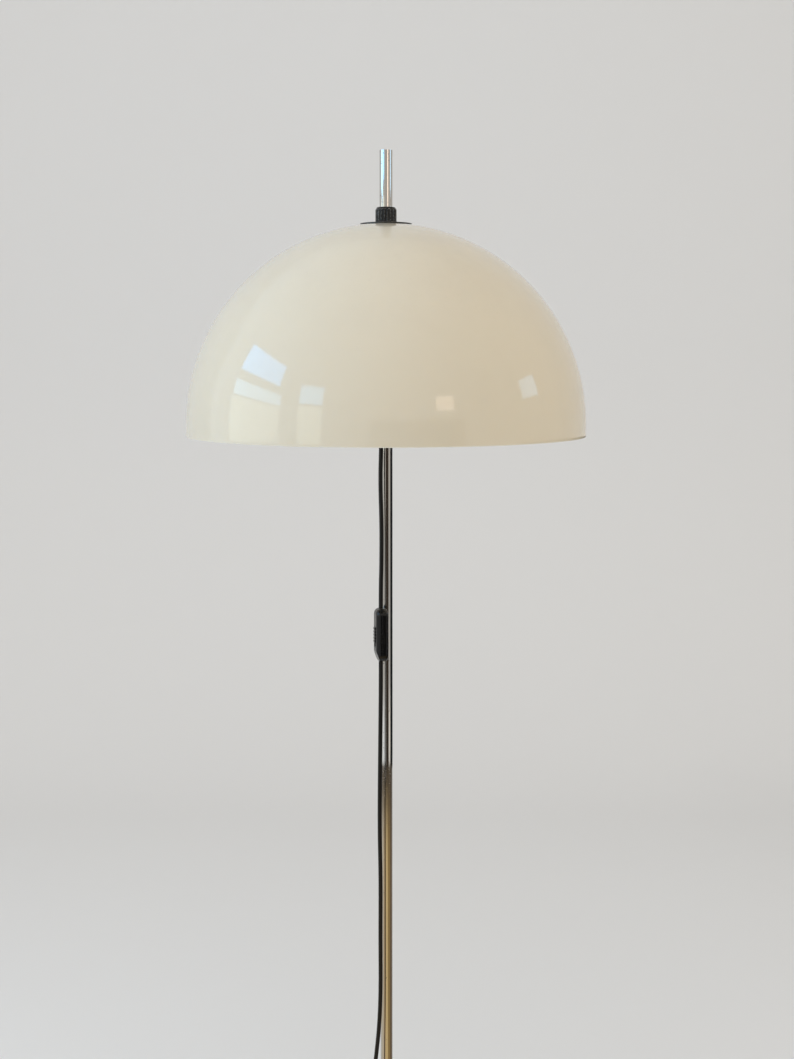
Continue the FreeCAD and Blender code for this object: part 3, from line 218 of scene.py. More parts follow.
def roundTube(name, path, radius):
    sides = cordSizes["sides"]
    work = bmesh.new()
    side = Vector((1, 0, 0))
    rings = []
    for i, place in enumerate(path):
        way = (path[min(i + 1, len(path) - 1)] - path[max(i - 1, 0)]).normalized()
        side = (side - way * side.dot(way)).normalized()
        across = way.cross(side)
        rings.append([
            work.verts.new(place + (side * math.cos(t) + across * math.sin(t)) * radius)
            for t in (2 * math.pi * k / sides for k in range(sides))
        ])
    for ring, after in zip(rings, rings[1:]):
        for k in range(sides):
            work.faces.new((ring[k], ring[(k + 1) % sides], after[(k + 1) % sides], after[k]))
    for ring in (rings[0], rings[-1]):
        work.faces.new(ring)
    return finishMesh(name, work, cordSizes["crease"])


def hangCords():
    metre = cordSizes["diameter"] / 1000
    upperPath = cordLine("upperRoute", upperRoute)
    upper = addPiece("cordUpper", roundTube("cordUpper", upperPath, metre / 2))
    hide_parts("cord_upper")
    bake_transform(upper)

    mainPath = cordLine("mainRoute", [*lowerRoute, *coilRoute()])
    main = addPiece("cordMain", roundTube("cordMain", mainPath, metre / 2))
    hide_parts("cord_lower", "cord_floor", "cord_coil")
    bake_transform(main)
    length = sum((b - a).length for a, b in zip(mainPath, mainPath[1:]))
    print("cord from switch to plug:", round(length, 3), "m")
    return upper, main


cordUpper, cordMain = hangCords()
print("cords hung")


# The shade: a thin half-sphere dome with a short straight skirt and a rounded rim.
shadeSizes = {
    "radius": 0.25,
    "wall": 0.003,
    "centre": 1.1115,
    "skirt": 0.0125,
    "hole": 0.0114,
    "rimRounding": 0.0011,
    "around": 240,
    "stepsUp": 72,
    "skirtSteps": 4,
    "rimSteps": 6,
    "crease": 40,
}


def buildShade():
    s = shadeSizes
    inner = s["radius"] - s["wall"]
    foot = s["centre"] - s["skirt"]
    topOut = math.degrees(math.acos(s["hole"] / s["radius"]))
    topIn = math.degrees(math.acos(s["hole"] / inner))
    outline = arcPoints(s["radius"], s["centre"], topOut, 0, s["stepsUp"])
    turn = s["rimRounding"]
    skirtHeights = [s["centre"] - (s["skirt"] - turn) * i / s["skirtSteps"]
                    for i in range(1, s["skirtSteps"])]
    rimAngles = [math.pi / 2 * i / s["rimSteps"] for i in range(s["rimSteps"] + 1)]
    outline += [(s["radius"], height) for height in skirtHeights]
    for angle in rimAngles:
        outline.append((s["radius"] - turn + turn * math.cos(angle), foot + turn - turn * math.sin(angle)))
    for angle in rimAngles:
        outline.append((inner + turn - turn * math.sin(angle), foot + turn - turn * math.cos(angle)))
    outline += [(inner, height) for height in reversed(skirtHeights)]
    outline += arcPoints(inner, s["centre"], 0, topIn, s["stepsUp"])
    dome = addPiece("shadeDome", turnOutline("shadeDome", outline, s["around"], s["crease"]))
    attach(dome, "head")
    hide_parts("shade")
    return dome


shadeDome = buildShade()
print("shade turned")


# Shader effects that several finishes share. Each is a node group placed with its own values.
def linear(colour):
    return tuple(((c / 255 + 0.055) / 1.055) ** 2.4 if c > 10 else c / 3294.6 for c in colour) + (1,)


def addNode(tree, kind, **settings):
    node = tree.nodes.new("ShaderNode" + kind)
    for name, value in settings.items():
        setattr(node, name, value)
    return node


# Fills a node's sockets by name or number: from another socket, or with a plain value.
def feed(tree, node, values):
    for key, value in values.items():
        socket = node.inputs[key]
        if isinstance(value, bpy.types.NodeSocket):
            tree.links.new(value, socket)
        else:
            socket.default_value = value
    return node


def math2(tree, operation, first, second, clamp=False):
    node = addNode(tree, "Math", operation=operation, use_clamp=clamp)
    return feed(tree, node, {0: first, 1: second}).outputs[0]


def mixColour(tree, share, first, second):
    node = addNode(tree, "Mix", data_type="RGBA")
    return feed(tree, node, {0: share, 6: first, 7: second}).outputs[2]


def noise(tree, where, scale, detail=3.0, rough=0.55):
    node = addNode(tree, "TexNoise")
    feed(tree, node, {"Vector": where, "Scale": scale, "Detail": detail, "Roughness": rough})
    return node.outputs["Fac"]


def ramp(tree, value, low, high):
    node = addNode(tree, "MapRange", interpolation_type="SMOOTHSTEP")
    return feed(tree, node, {"Value": value, "From Min": low, "From Max": high}).outputs["Result"]


def stretched(tree, where, scale, turn=(0, 0, 0)):
    node = addNode(tree, "Mapping")
    return feed(tree, node, {"Vector": where, "Scale": scale, "Rotation": turn}).outputs["Vector"]


# Opens a group with its sockets and hands back its tree, its input sockets and a way to close it.
def openGroup(name, inputs, outputs):
    tree = bpy.data.node_groups.new(name, "ShaderNodeTree")
    for label, value in inputs.items():
        kind = "NodeSocketColor" if isinstance(value, tuple) else "NodeSocketFloat"
        tree.interface.new_socket(label, in_out="INPUT", socket_type=kind).default_value = value
    for label, kind in outputs.items():
        tree.interface.new_socket(label, in_out="OUTPUT", socket_type="NodeSocket" + kind)
    entry = tree.nodes.new("NodeGroupInput")
    leave = tree.nodes.new("NodeGroupOutput")
    where = addNode(tree, "TexCoord").outputs["Object"]
    return tree, entry.outputs, leave, where


grey = (0.5, 0.5, 0.5, 1)


# Slow changes of a colour from patch to patch: darker here, paler there.
def buildToneDrift():
    tree, given, leave, where = openGroup(
        "toneDrift", {"Color": grey, "Spread": 0.1, "Scale": 12.0}, {"Color": "Color", "Mask": "Float"})
    broad = noise(tree, where, given["Scale"], 4.0, 0.6)
    fine = noise(tree, where, math2(tree, "MULTIPLY", given["Scale"], 9.0), 5.0, 0.65)
    both = math2(tree, "ADD", math2(tree, "MULTIPLY", broad, 0.65), math2(tree, "MULTIPLY", fine, 0.35))
    swing = math2(tree, "MULTIPLY", math2(tree, "SUBTRACT", both, 0.5), given["Spread"])
    level = math2(tree, "ADD", math2(tree, "MULTIPLY", swing, 4.0), 1.0)
    adjust = addNode(tree, "HueSaturation")
    feed(tree, adjust, {"Color": given["Color"], "Value": level})
    feed(tree, leave, {"Color": adjust.outputs["Color"], "Mask": both})
    return tree


# Roughness that wanders, with the smears that hands and a cloth leave.
def buildHandledSheen():
    tree, given, leave, where = openGroup(
        "handledSheen", {"Roughness": 0.3, "Spread": 0.1, "Scale": 14.0}, {"Roughness": "Float"})
    smear = noise(tree, stretched(tree, where, (1, 1, 0.35), (0.3, 0.5, 0)), given["Scale"], 4.0, 0.6)
    speck = noise(tree, where, math2(tree, "MULTIPLY", given["Scale"], 22.0), 2.0)
    both = math2(tree, "ADD", math2(tree, "MULTIPLY", smear, 0.75), math2(tree, "MULTIPLY", speck, 0.25))
    swing = math2(tree, "MULTIPLY", math2(tree, "SUBTRACT", both, 0.5), given["Spread"])
    total = math2(tree, "ADD", given["Roughness"], math2(tree, "MULTIPLY", swing, 4.0))
    feed(tree, leave, {"Roughness": math2(tree, "MAXIMUM", total, 0.02)})
    return tree


# Dust that settles where a surface looks up, in a thin uneven veil with a few specks.
def buildDustVeil():
    tree, given, leave, where = openGroup(
        "dustVeil", {"Color": grey, "Dust Color": grey, "Amount": 0.2, "Scale": 30.0},
        {"Color": "Color", "Mask": "Float"})
    facing = addNode(tree, "NewGeometry").outputs["Normal"]
    up = feed(tree, addNode(tree, "SeparateXYZ"), {0: facing}).outputs["Z"]
    lying = ramp(tree, up, 0.1, 0.95)
    patches = ramp(tree, noise(tree, where, given["Scale"], 5.0, 0.7), 0.32, 0.72)
    specks = ramp(tree, noise(tree, where, math2(tree, "MULTIPLY", given["Scale"], 40.0), 1.0), 0.66, 0.74)
    veil = math2(tree, "ADD", math2(tree, "MULTIPLY", patches, 0.7), math2(tree, "MULTIPLY", specks, 0.6))
    mask = math2(tree, "MULTIPLY", math2(tree, "MULTIPLY", veil, lying), given["Amount"], clamp=True)
    feed(tree, leave, {"Color": mixColour(tree, mask, given["Color"], given["Dust Color"]), "Mask": mask})
    return tree


# Fine scratches in three directions, as a mask that also serves as a height.
scratchRuns = (  # turn in radians, then stretch, of each direction
    ((0.5, 0.2, 0.4), (1, 0.03, 1)), ((0.9, 1.3, 0.2), (0.03, 1, 1)), ((1.6, 0.4, 1.1), (1, 1, 0.04)),
)


def buildFineScratches():
    tree, given, leave, where = openGroup(
        "fineScratches", {"Scale": 40.0, "Amount": 0.5}, {"Mask": "Float"})
    lines = []
    for turn, span in scratchRuns:
        fine = math2(tree, "MULTIPLY", given["Scale"], 12.0)
        grain = noise(tree, stretched(tree, where, span, turn), fine, 1.0)
        lines.append(ramp(tree, grain, 0.67, 0.73))
    marks = math2(tree, "MAXIMUM", math2(tree, "MAXIMUM", lines[0], lines[1]), lines[2])
    worn = ramp(tree, noise(tree, where, given["Scale"], 2.0), 0.4, 0.65)
    mask = math2(tree, "MULTIPLY", math2(tree, "MULTIPLY", marks, worn), given["Amount"])
    feed(tree, leave, {"Mask": mask})
    return tree


# Pale edges, as rubbed wear on most finishes and as a painted highlight along the knob's ridges: the rounded
# normal turns away from the real one there.
def buildEdgeWearAndGlint():
    tree, given, leave, where = openGroup(
        "edgeWearAndGlint", {"Width": 0.001, "Amount": 0.6, "Scale": 300.0}, {"Mask": "Float"})
    rounded = addNode(tree, "Bevel", samples=6)
    feed(tree, rounded, {"Radius": given["Width"]})
    facing = addNode(tree, "NewGeometry").outputs["Normal"]
    meet = addNode(tree, "VectorMath", operation="DOT_PRODUCT")
    feed(tree, meet, {0: rounded.outputs[0], 1: facing})
    edge = ramp(tree, math2(tree, "SUBTRACT", 1.0, meet.outputs["Value"]), 0.03, 0.25)
    broken = ramp(tree, noise(tree, where, given["Scale"], 4.0, 0.7), 0.38, 0.62)
    mask = math2(tree, "MULTIPLY", math2(tree, "MULTIPLY", edge, broken), given["Amount"])
    feed(tree, leave, {"Mask": mask})
    return tree


# The skin of moulded, painted or cast surfaces: a height made of two sizes of bumps.
def buildSurfaceGrain():
    tree, given, leave, where = openGroup(
        "surfaceGrain", {"Scale": 900.0, "Coarseness": 0.4}, {"Height": "Float"})
    small = noise(tree, where, given["Scale"], 3.0, 0.6)
    large = noise(tree, where, math2(tree, "MULTIPLY", given["Scale"], 0.17), 2.0)
    part = math2(tree, "MULTIPLY", math2(tree, "SUBTRACT", large, small), given["Coarseness"])
    feed(tree, leave, {"Height": math2(tree, "ADD", small, part)})
    return tree


# Small dark pits, as old chrome and cast metal have.
def buildPitting():
    tree, given, leave, where = openGroup("pitting", {"Scale": 260.0, "Density": 0.3}, {"Mask": "Float"})
    cells = addNode(tree, "TexVoronoi", feature="F1")
    feed(tree, cells, {"Vector": where, "Scale": given["Scale"]})
    dot = math2(tree, "SUBTRACT", 1.0, ramp(tree, cells.outputs["Distance"], 0.1, 0.24))
    pick = feed(tree, addNode(tree, "SeparateXYZ"), {0: cells.outputs["Color"]}).outputs["X"]
    chosen = math2(tree, "LESS_THAN", pick, given["Density"])
    feed(tree, leave, {"Mask": math2(tree, "MULTIPLY", dot, chosen)})
    return tree


toneDrift, handledSheen, dustVeil = buildToneDrift(), buildHandledSheen(), buildDustVeil()
fineScratches, edgeWearAndGlint = buildFineScratches(), buildEdgeWearAndGlint()
surfaceGrain, pitting = buildSurfaceGrain(), buildPitting()
print("shared effects built")


def placeEffect(tree, group, **values):
    node = addNode(tree, "Group", node_tree=group)
    return feed(tree, node, {key.replace("_", " "): value for key, value in values.items()})


def openFinish(name, plain):
    finish = bpy.data.materials.new(name)
    finish.use_nodes = True
    shader = finish.node_tree.nodes["Principled BSDF"]
    feed(finish.node_tree, shader, plain)
    return finish, finish.node_tree, shader


def addBump(tree, shader, height, distance, strength, coat=False):
    bump = feed(tree, addNode(tree, "Bump"), {"Height": height, "Distance": distance, "Strength": strength})
    tree.links.new(bump.outputs["Normal"], shader.inputs["Normal"])
    if coat:
        tree.links.new(bump.outputs["Normal"], shader.inputs["Coat Normal"])


dustColour = (168, 160, 148)


# A finish from its look: colour that drifts, wandering sheen, grain, and pale edges (rubbed wear, a painted
# highlight on the knob's ridges) or dust where given.
def buildFinish(name, look):
    finish, tree, shader = openFinish(name, look.get("plain", {}))
    colour = placeEffect(tree, toneDrift, Color=linear(look["colour"]), Spread=look["drift"],
                         Scale=look["patch"]).outputs["Color"]
    sheen = placeEffect(tree, handledSheen, Roughness=look["roughness"], Spread=look["sheenDrift"],
                        Scale=look["patch"] * 2).outputs["Roughness"]
    height = placeEffect(tree, surfaceGrain, Scale=look["grain"],
                         Coarseness=look.get("coarseness", 0.4)).outputs["Height"]
    if "pits" in look:
        spots = placeEffect(tree, pitting, Scale=look["pits"][0], Density=look["pits"][1]).outputs["Mask"]
        colour = mixColour(tree, spots, colour, linear(look["pitColour"]))
        sheen = math2(tree, "ADD", sheen, math2(tree, "MULTIPLY", spots, 0.3))
        height = math2(tree, "SUBTRACT", height, math2(tree, "MULTIPLY", spots, 2.0))
    if "scratches" in look:
        marks = placeEffect(tree, fineScratches, Scale=look["scratches"][0],
                            Amount=look["scratches"][1]).outputs["Mask"]
        sheen = math2(tree, "ADD", sheen, math2(tree, "MULTIPLY", marks, 0.25))
        height = math2(tree, "SUBTRACT", height, marks)
    # pale edges: rubbed wear on most finishes, a painted highlight along the knob's ridges
    if "wearAndGlint" in look:
        rubbedAndGlint = placeEffect(tree, edgeWearAndGlint, Width=look["wearAndGlint"][0], Amount=look["wearAndGlint"][1],
                             Scale=look["wearAndGlint"][2]).outputs["Mask"]
        colour = mixColour(tree, rubbedAndGlint, colour, linear(look["wearAndGlintColour"]))
        sheen = math2(tree, "SUBTRACT", sheen, math2(tree, "MULTIPLY", rubbedAndGlint, 0.1))
    if "dust" in look:
        veil = placeEffect(tree, dustVeil, Color=colour, Dust_Color=linear(dustColour),
                           Amount=look["dust"], Scale=look["patch"] * 1.5)
        colour = veil.outputs["Color"]
        sheen = math2(tree, "ADD", sheen, math2(tree, "MULTIPLY", veil.outputs["Mask"], 0.5))
    feed(tree, shader, {"Base Color": colour, "Roughness": sheen})
    addBump(tree, shader, height, look["depth"], look.get("bump", 0.6))
    return finish


# The frame's pieces that the record gives one of its material slots, apart from those named.
def piecesOf(slotName, without=()):
    rows = frame["record"]["subparts"]
    names = [row["node"] for row in rows if row["material_slot"] == slotName]
    return [frame["nodes"][name] for name in names if name not in without]


def dressPieces(finish, pieces):
    for piece in pieces:
        if not piece.material_slots:
            piece.data.materials.append(finish)
        for entry in piece.material_slots:
            entry.material = finish


# Cream opal acrylic: glossy, milky, with a painted glow of light at its cut rim, with faint haze and
# hairlines.
shadeLook = {
    "colour": (214, 205, 186),
    # the rim colour is a painted glow of light coming through the cut edge
    "rimGlowColour": (238, 233, 220),
    "rimHeight": 1.1003,  # the polished edge below this height is paler
    "rimBlend": 0.0008,
    "rimGlowShare": 0.85,
    "crownColour": (226, 220, 204),
    "crownHeights": (1.15, 1.38),
    "crownShare": 0.35,
    "dustColour": (196, 188, 172),
    "dust": 0.35,
    "scratches": 0.6,
    "roughness": 0.07,
    "wave": (0.0012, 0.07),  # depth and strength of the sheet's waves
    "plain": {"IOR": 1.49, "Subsurface Weight": 0.12, "Subsurface Radius": (0.012, 0.009, 0.006),
              "Subsurface Scale": 1.0, "Coat Weight": 0.35, "Coat Roughness": 0.03, "Coat IOR": 1.5},
}


def buildShadeFinish():
    look = shadeLook
    finish, tree, shader = openFinish("opalAcrylic", look["plain"])
    where = addNode(tree, "TexCoord").outputs["Object"]
    height = feed(tree, addNode(tree, "SeparateXYZ"), {0: where}).outputs["Z"]
    colour = placeEffect(tree, toneDrift, Color=linear(look["colour"]), Spread=0.02,
                         Scale=5.0).outputs["Color"]
    # the tone pales a little going up towards the crown
    crown = math2(tree, "MULTIPLY", ramp(tree, height, *look["crownHeights"]), look["crownShare"])
    colour = mixColour(tree, crown, colour, linear(look["crownColour"]))
    # painted glow of light through the cut rim: the edge below the rim height is mixed towards a paler
    # colour
    above = ramp(tree, height, look["rimHeight"] - look["rimBlend"], look["rimHeight"])
    rimGlow = math2(tree, "MULTIPLY", math2(tree, "SUBTRACT", 1.0, above), look["rimGlowShare"])
    colour = mixColour(tree, rimGlow, colour, linear(look["rimGlowColour"]))
    veil = placeEffect(tree, dustVeil, Color=colour, Dust_Color=linear(look["dustColour"]),
                       Amount=look["dust"], Scale=9.0)
    marks = placeEffect(tree, fineScratches, Scale=14.0, Amount=look["scratches"]).outputs["Mask"]
    sheen = placeEffect(tree, handledSheen, Roughness=look["roughness"], Spread=0.03,
                        Scale=7.0).outputs["Roughness"]
    for mask, share in ((veil.outputs["Mask"], 0.25), (marks, 0.1)):
        sheen = math2(tree, "ADD", sheen, math2(tree, "MULTIPLY", mask, share))
    feed(tree, shader, {"Base Color": veil.outputs["Color"], "Roughness": sheen})
    # a barely wavy sheet, drawn over its mould
    sag = placeEffect(tree, surfaceGrain, Scale=11.0, Coarseness=0.2).outputs["Height"]
    relief = math2(tree, "SUBTRACT", sag, math2(tree, "MULTIPLY", marks, 0.02))
    addBump(tree, shader, relief, *look["wave"], coat=True)
    return finish


shadeDome.data.materials.append(buildShadeFinish())
print("shade finished")


# Bright chrome on the rod, foot, collar and hub, with wiped smears and a little pitting.
chromeLook = {
    "colour": (206, 204, 200),
    "tarnish": (150, 134, 112),
    "cloudiness": 0.12,
    "pitColour": (46, 38, 32),
    "pits": 0.035,
    "dustColour": (176, 168, 154),
    "dust": 0.18,
    "scratches": 0.5,
    "roughness": 0.05,
    "relief": (0.0002, 0.15),  # depth and strength
    "plain": {"Metallic": 1.0},
}
rodLook = {"endHeight": 1.426, "endBlend": 0.006, "endPits": 0.62, "endScale": 330.0}


def buildChrome(name, pitted):
    look = chromeLook
    finish, tree, shader = openFinish(name, look["plain"])
    where = addNode(tree, "TexCoord").outputs["Object"]
    height = feed(tree, addNode(tree, "SeparateXYZ"), {0: where}).outputs["Z"]
    drift = placeEffect(tree, toneDrift, Color=linear(look["colour"]), Spread=0.035, Scale=16.0)
    cloudy = math2(tree, "MULTIPLY", ramp(tree, drift.outputs["Mask"], 0.5, 0.72), look["cloudiness"])
    colour = mixColour(tree, cloudy, drift.outputs["Color"], linear(look["tarnish"]))
    spots = placeEffect(tree, pitting, Scale=300.0, Density=look["pits"]).outputs["Mask"]
    if pitted:  # the tube's open end is the most worn
        ends = ramp(tree, height, rodLook["endHeight"], rodLook["endHeight"] + rodLook["endBlend"])
        more = placeEffect(tree, pitting, Scale=rodLook["endScale"],
                           Density=rodLook["endPits"]).outputs["Mask"]
        spots = math2(tree, "MAXIMUM", spots, math2(tree, "MULTIPLY", more, ends))
    colour = mixColour(tree, spots, colour, linear(look["pitColour"]))
    marks = placeEffect(tree, fineScratches, Scale=60.0, Amount=look["scratches"]).outputs["Mask"]
    veil = placeEffect(tree, dustVeil, Color=colour, Dust_Color=linear(look["dustColour"]),
                       Amount=look["dust"], Scale=26.0)
    sheen = placeEffect(tree, handledSheen, Roughness=look["roughness"], Spread=0.035,
                        Scale=24.0).outputs["Roughness"]
    for mask, share in ((spots, 0.5), (marks, 0.18), (veil.outputs["Mask"], 0.6)):
        sheen = math2(tree, "ADD", sheen, math2(tree, "MULTIPLY", mask, share))
    feed(tree, shader, {"Base Color": veil.outputs["Color"], "Roughness": sheen})
    worn = math2(tree, "MULTIPLY", math2(tree, "MAXIMUM", spots, marks), 0.5)
    grain = placeEffect(tree, surfaceGrain, Scale=45.0, Coarseness=0.3).outputs["Height"]
    addBump(tree, shader, math2(tree, "SUBTRACT", grain, worn), *look["relief"])
    return finish


dressPieces(buildChrome("rodChrome", True), [frame["nodes"]["rod"]])
dressPieces(buildChrome("chrome", False), piecesOf("chrome", without=["rod"]))
print("chrome finished")

# Moulded black plastic of the knob, the switch and the tie.
plasticLook = {
    "colour": (13, 14, 16), "drift": 0.1, "patch": 60.0, "roughness": 0.24, "sheenDrift": 0.08,
    "grain": 1500.0, "depth": 0.00012, "bump": 0.35, "scratches": (90.0, 0.5),
    "wearAndGlint": (0.0007, 0.55, 700.0), "wearAndGlintColour": (92, 92, 94), "dust": 0.22,
    "plain": {"IOR": 1.5, "Specular IOR Level": 0.35},
}

# The knob is the same plastic, with a painted highlight along its ridges, put in as a pale edge colour.
knobLook = {
    **plasticLook, "colour": (10, 10, 11), "roughness": 0.17, "wearAndGlint": (0.0014, 1.0, 500.0),
    "wearAndGlintColour": (176, 175, 171), "dust": 0.1,
}

# Stoved black paint on the pressed disc under the knob.
discLook = {
    "colour": (18, 18, 19), "drift": 0.1, "patch": 40.0, "roughness": 0.3, "sheenDrift": 0.06,
    "grain": 600.0, "depth": 0.0002, "bump": 0.3, "scratches": (70.0, 0.6),
    "wearAndGlint": (0.0006, 0.7, 500.0), "wearAndGlintColour": (120, 116, 110), "dust": 0.3,
}

# White paint over the pressed steel junction box inside the shade.
boxLook = {
    "colour": (222, 219, 211), "drift": 0.05, "patch": 20.0, "roughness": 0.42, "sheenDrift": 0.06,
    "grain": 420.0, "depth": 0.0003, "bump": 0.35, "scratches": (50.0, 0.4),
    "wearAndGlint": (0.0008, 0.6, 350.0), "wearAndGlintColour": (134, 131, 126), "dust": 0.4,
}

# Zinc-plated steel of screws, nuts, washers and the foot's bolt.
zincLook = {
    "colour": (176, 178, 180), "drift": 0.12, "patch": 130.0, "roughness": 0.3, "sheenDrift": 0.1,
    "grain": 1100.0, "depth": 0.00012, "scratches": (140.0, 0.8), "pits": (700.0, 0.06),
    "pitColour": (92, 80, 66), "plain": {"Metallic": 1.0},
}
brassLook = {
    "colour": (196, 164, 98), "drift": 0.12, "patch": 110.0, "roughness": 0.26, "sheenDrift": 0.1,
    "grain": 900.0, "depth": 0.0001, "scratches": (120.0, 0.8), "pits": (520.0, 0.08),
    "pitColour": (98, 68, 38), "plain": {"Metallic": 1.0},
}
aluminiumLook = {
    "colour": (188, 189, 190), "drift": 0.08, "patch": 80.0, "roughness": 0.3, "sheenDrift": 0.08,
    "grain": 800.0, "depth": 0.00012, "scratches": (110.0, 0.8), "plain": {"Metallic": 1.0},
}
ironLook = {
    "colour": (70, 68, 66), "drift": 0.25, "patch": 30.0, "roughness": 0.72, "sheenDrift": 0.08,
    "grain": 380.0, "depth": 0.0012, "bump": 0.8, "coarseness": 0.9, "pits": (240.0, 0.3),
    "pitColour": (44, 36, 30), "wearAndGlint": (0.0015, 0.6, 240.0), "wearAndGlintColour": (112, 108, 102),
    "plain": {"Metallic": 0.4},
}
rubberLook = {
    "colour": (33, 32, 32), "drift": 0.12, "patch": 70.0, "roughness": 0.55, "sheenDrift": 0.08,
    "grain": 1300.0, "depth": 0.0002, "bump": 0.4, "wearAndGlint": (0.0008, 0.5, 500.0),
    "wearAndGlintColour": (74, 72, 70), "dust": 0.3,
}
nylonLook = {
    "colour": (214, 209, 194), "drift": 0.08, "patch": 50.0, "roughness": 0.4, "sheenDrift": 0.06,
    "grain": 700.0, "depth": 0.00015, "dust": 0.2, "plain": {"Subsurface Weight": 0.1},
}
phenolicLook = {
    "colour": (34, 29, 27), "drift": 0.14, "patch": 60.0, "roughness": 0.28, "sheenDrift": 0.07,
    "grain": 800.0, "depth": 0.00015, "bump": 0.35, "scratches": (80.0, 0.6),
    "wearAndGlint": (0.0009, 0.5, 420.0), "wearAndGlintColour": (88, 76, 68), "dust": 0.3,
}
porcelainLook = {
    "colour": (228, 225, 216), "drift": 0.04, "patch": 40.0, "roughness": 0.2, "sheenDrift": 0.06,
    "grain": 300.0, "depth": 0.0002, "pits": (420.0, 0.05), "pitColour": (150, 138, 120), "dust": 0.2,
}
wireLook = {
    "colour": (58, 84, 140), "drift": 0.12, "patch": 120.0, "roughness": 0.38, "sheenDrift": 0.06,
    "grain": 1200.0, "depth": 0.0001, "dust": 0.2,
}
glassLook = {
    "colour": (236, 233, 225), "drift": 0.03, "patch": 20.0, "roughness": 0.18, "sheenDrift": 0.05,
    "grain": 120.0, "depth": 0.0002, "bump": 0.2, "dust": 0.25,
    "plain": {"Subsurface Weight": 0.15, "Subsurface Radius": (0.006, 0.006, 0.005), "Coat Weight": 0.3},
}
feltLook = {
    "colour": (58, 60, 58), "drift": 0.3, "patch": 45.0, "roughness": 0.95, "sheenDrift": 0.02,
    "grain": 2200.0, "depth": 0.0012, "bump": 0.9, "coarseness": 0.7,
    "plain": {"Sheen Weight": 0.4, "Sheen Roughness": 0.6, "IOR": 1.3},
}
sheathLook = {
    "colour": (13, 13, 14), "drift": 0.1, "patch": 35.0, "roughness": 0.33, "sheenDrift": 0.06,
    "grain": 700.0, "depth": 0.00025, "bump": 0.3, "coarseness": 0.8, "scratches": (60.0, 0.4), "dust": 0.2,
    "plain": {"IOR": 1.5, "Specular IOR Level": 0.35},
}

plainFinishes = [
    ("blackPlastic", plasticLook, "black_plastic"), ("blackPaint", discLook, "black_paint"),
    ("whitePaint", boxLook, "white_paint"),
    ("zincSteel", zincLook, "zinc_steel"), ("brass", brassLook, "brass"),
    ("aluminium", aluminiumLook, "aluminium"), ("castIron", ironLook, "cast_iron"),
    ("blackRubber", rubberLook, "black_rubber"), ("nylon", nylonLook, "nylon"),
    ("blackPhenolic", phenolicLook, "black_phenolic"), ("porcelain", porcelainLook, "porcelain"),
    ("coreWire", wireLook, "core_wire"), ("opalGlass", glassLook, "opal_glass"), ("felt", feltLook, "felt"),
]
for finishName, look, slotName in plainFinishes:
    dressPieces(buildFinish(finishName, look), piecesOf(slotName))
dressPieces(buildFinish("knobPlastic", knobLook), [frame["nodes"]["clamp_knob"]])
dressPieces(buildFinish("cordSheath", sheathLook), [cordUpper, cordMain])
print("all finishes in place")


# The stage: a pale floor that bends up behind the lamp.
studioSizes = {
    "floorSpan": 14,
    "bendRadius": 1.2,
    "wallPlace": 3.2,  # metres behind the lamp
    "wallHeight": 5,
    "bendSteps": 16,
    "crease": 60,
    "colour": (220, 220, 220),
    "lift": 0.08,  # how much paler it looks than the light on it makes it
}


def addStudio():
    s = studioSizes
    outline = [(-s["floorSpan"] / 2, 0)]
    for i in range(s["bendSteps"] + 1):
        angle = math.pi / 2 * i / s["bendSteps"]
        outline.append((s["wallPlace"] - s["bendRadius"] + s["bendRadius"] * math.sin(angle),
                        s["bendRadius"] - s["bendRadius"] * math.cos(angle)))
    outline.append((s["wallPlace"], s["wallHeight"]))
    half = s["floorSpan"] / 2
    work = bmesh.new()
    lines = [[work.verts.new((x, y, z)) for y, z in outline] for x in (-half, half)]
    for i in range(len(outline) - 1):
        work.faces.new((lines[0][i], lines[1][i], lines[1][i + 1], lines[0][i + 1]))
    floor = addPiece("studioFloor", finishMesh("studioFloor", work, s["crease"]))
    finish, tree, shader = openFinish("studioFloor", {"Roughness": 0.8})
    colour = placeEffect(tree, toneDrift, Color=linear(s["colour"]), Spread=0.006,
                         Scale=1.5).outputs["Color"]
    seen = addNode(tree, "LightPath").outputs
    shown = math2(tree, "MAXIMUM", seen["Is Camera Ray"], seen["Is Glossy Ray"])
    shown = math2(tree, "MAXIMUM", shown, seen["Is Transmission Ray"])
    lift = math2(tree, "MULTIPLY", shown, s["lift"])
    feed(tree, shader, {"Base Color": colour, "Emission Color": (1, 1, 1, 1), "Emission Strength": lift})
    floor.data.materials.append(finish)


addStudio()
print("studio built")

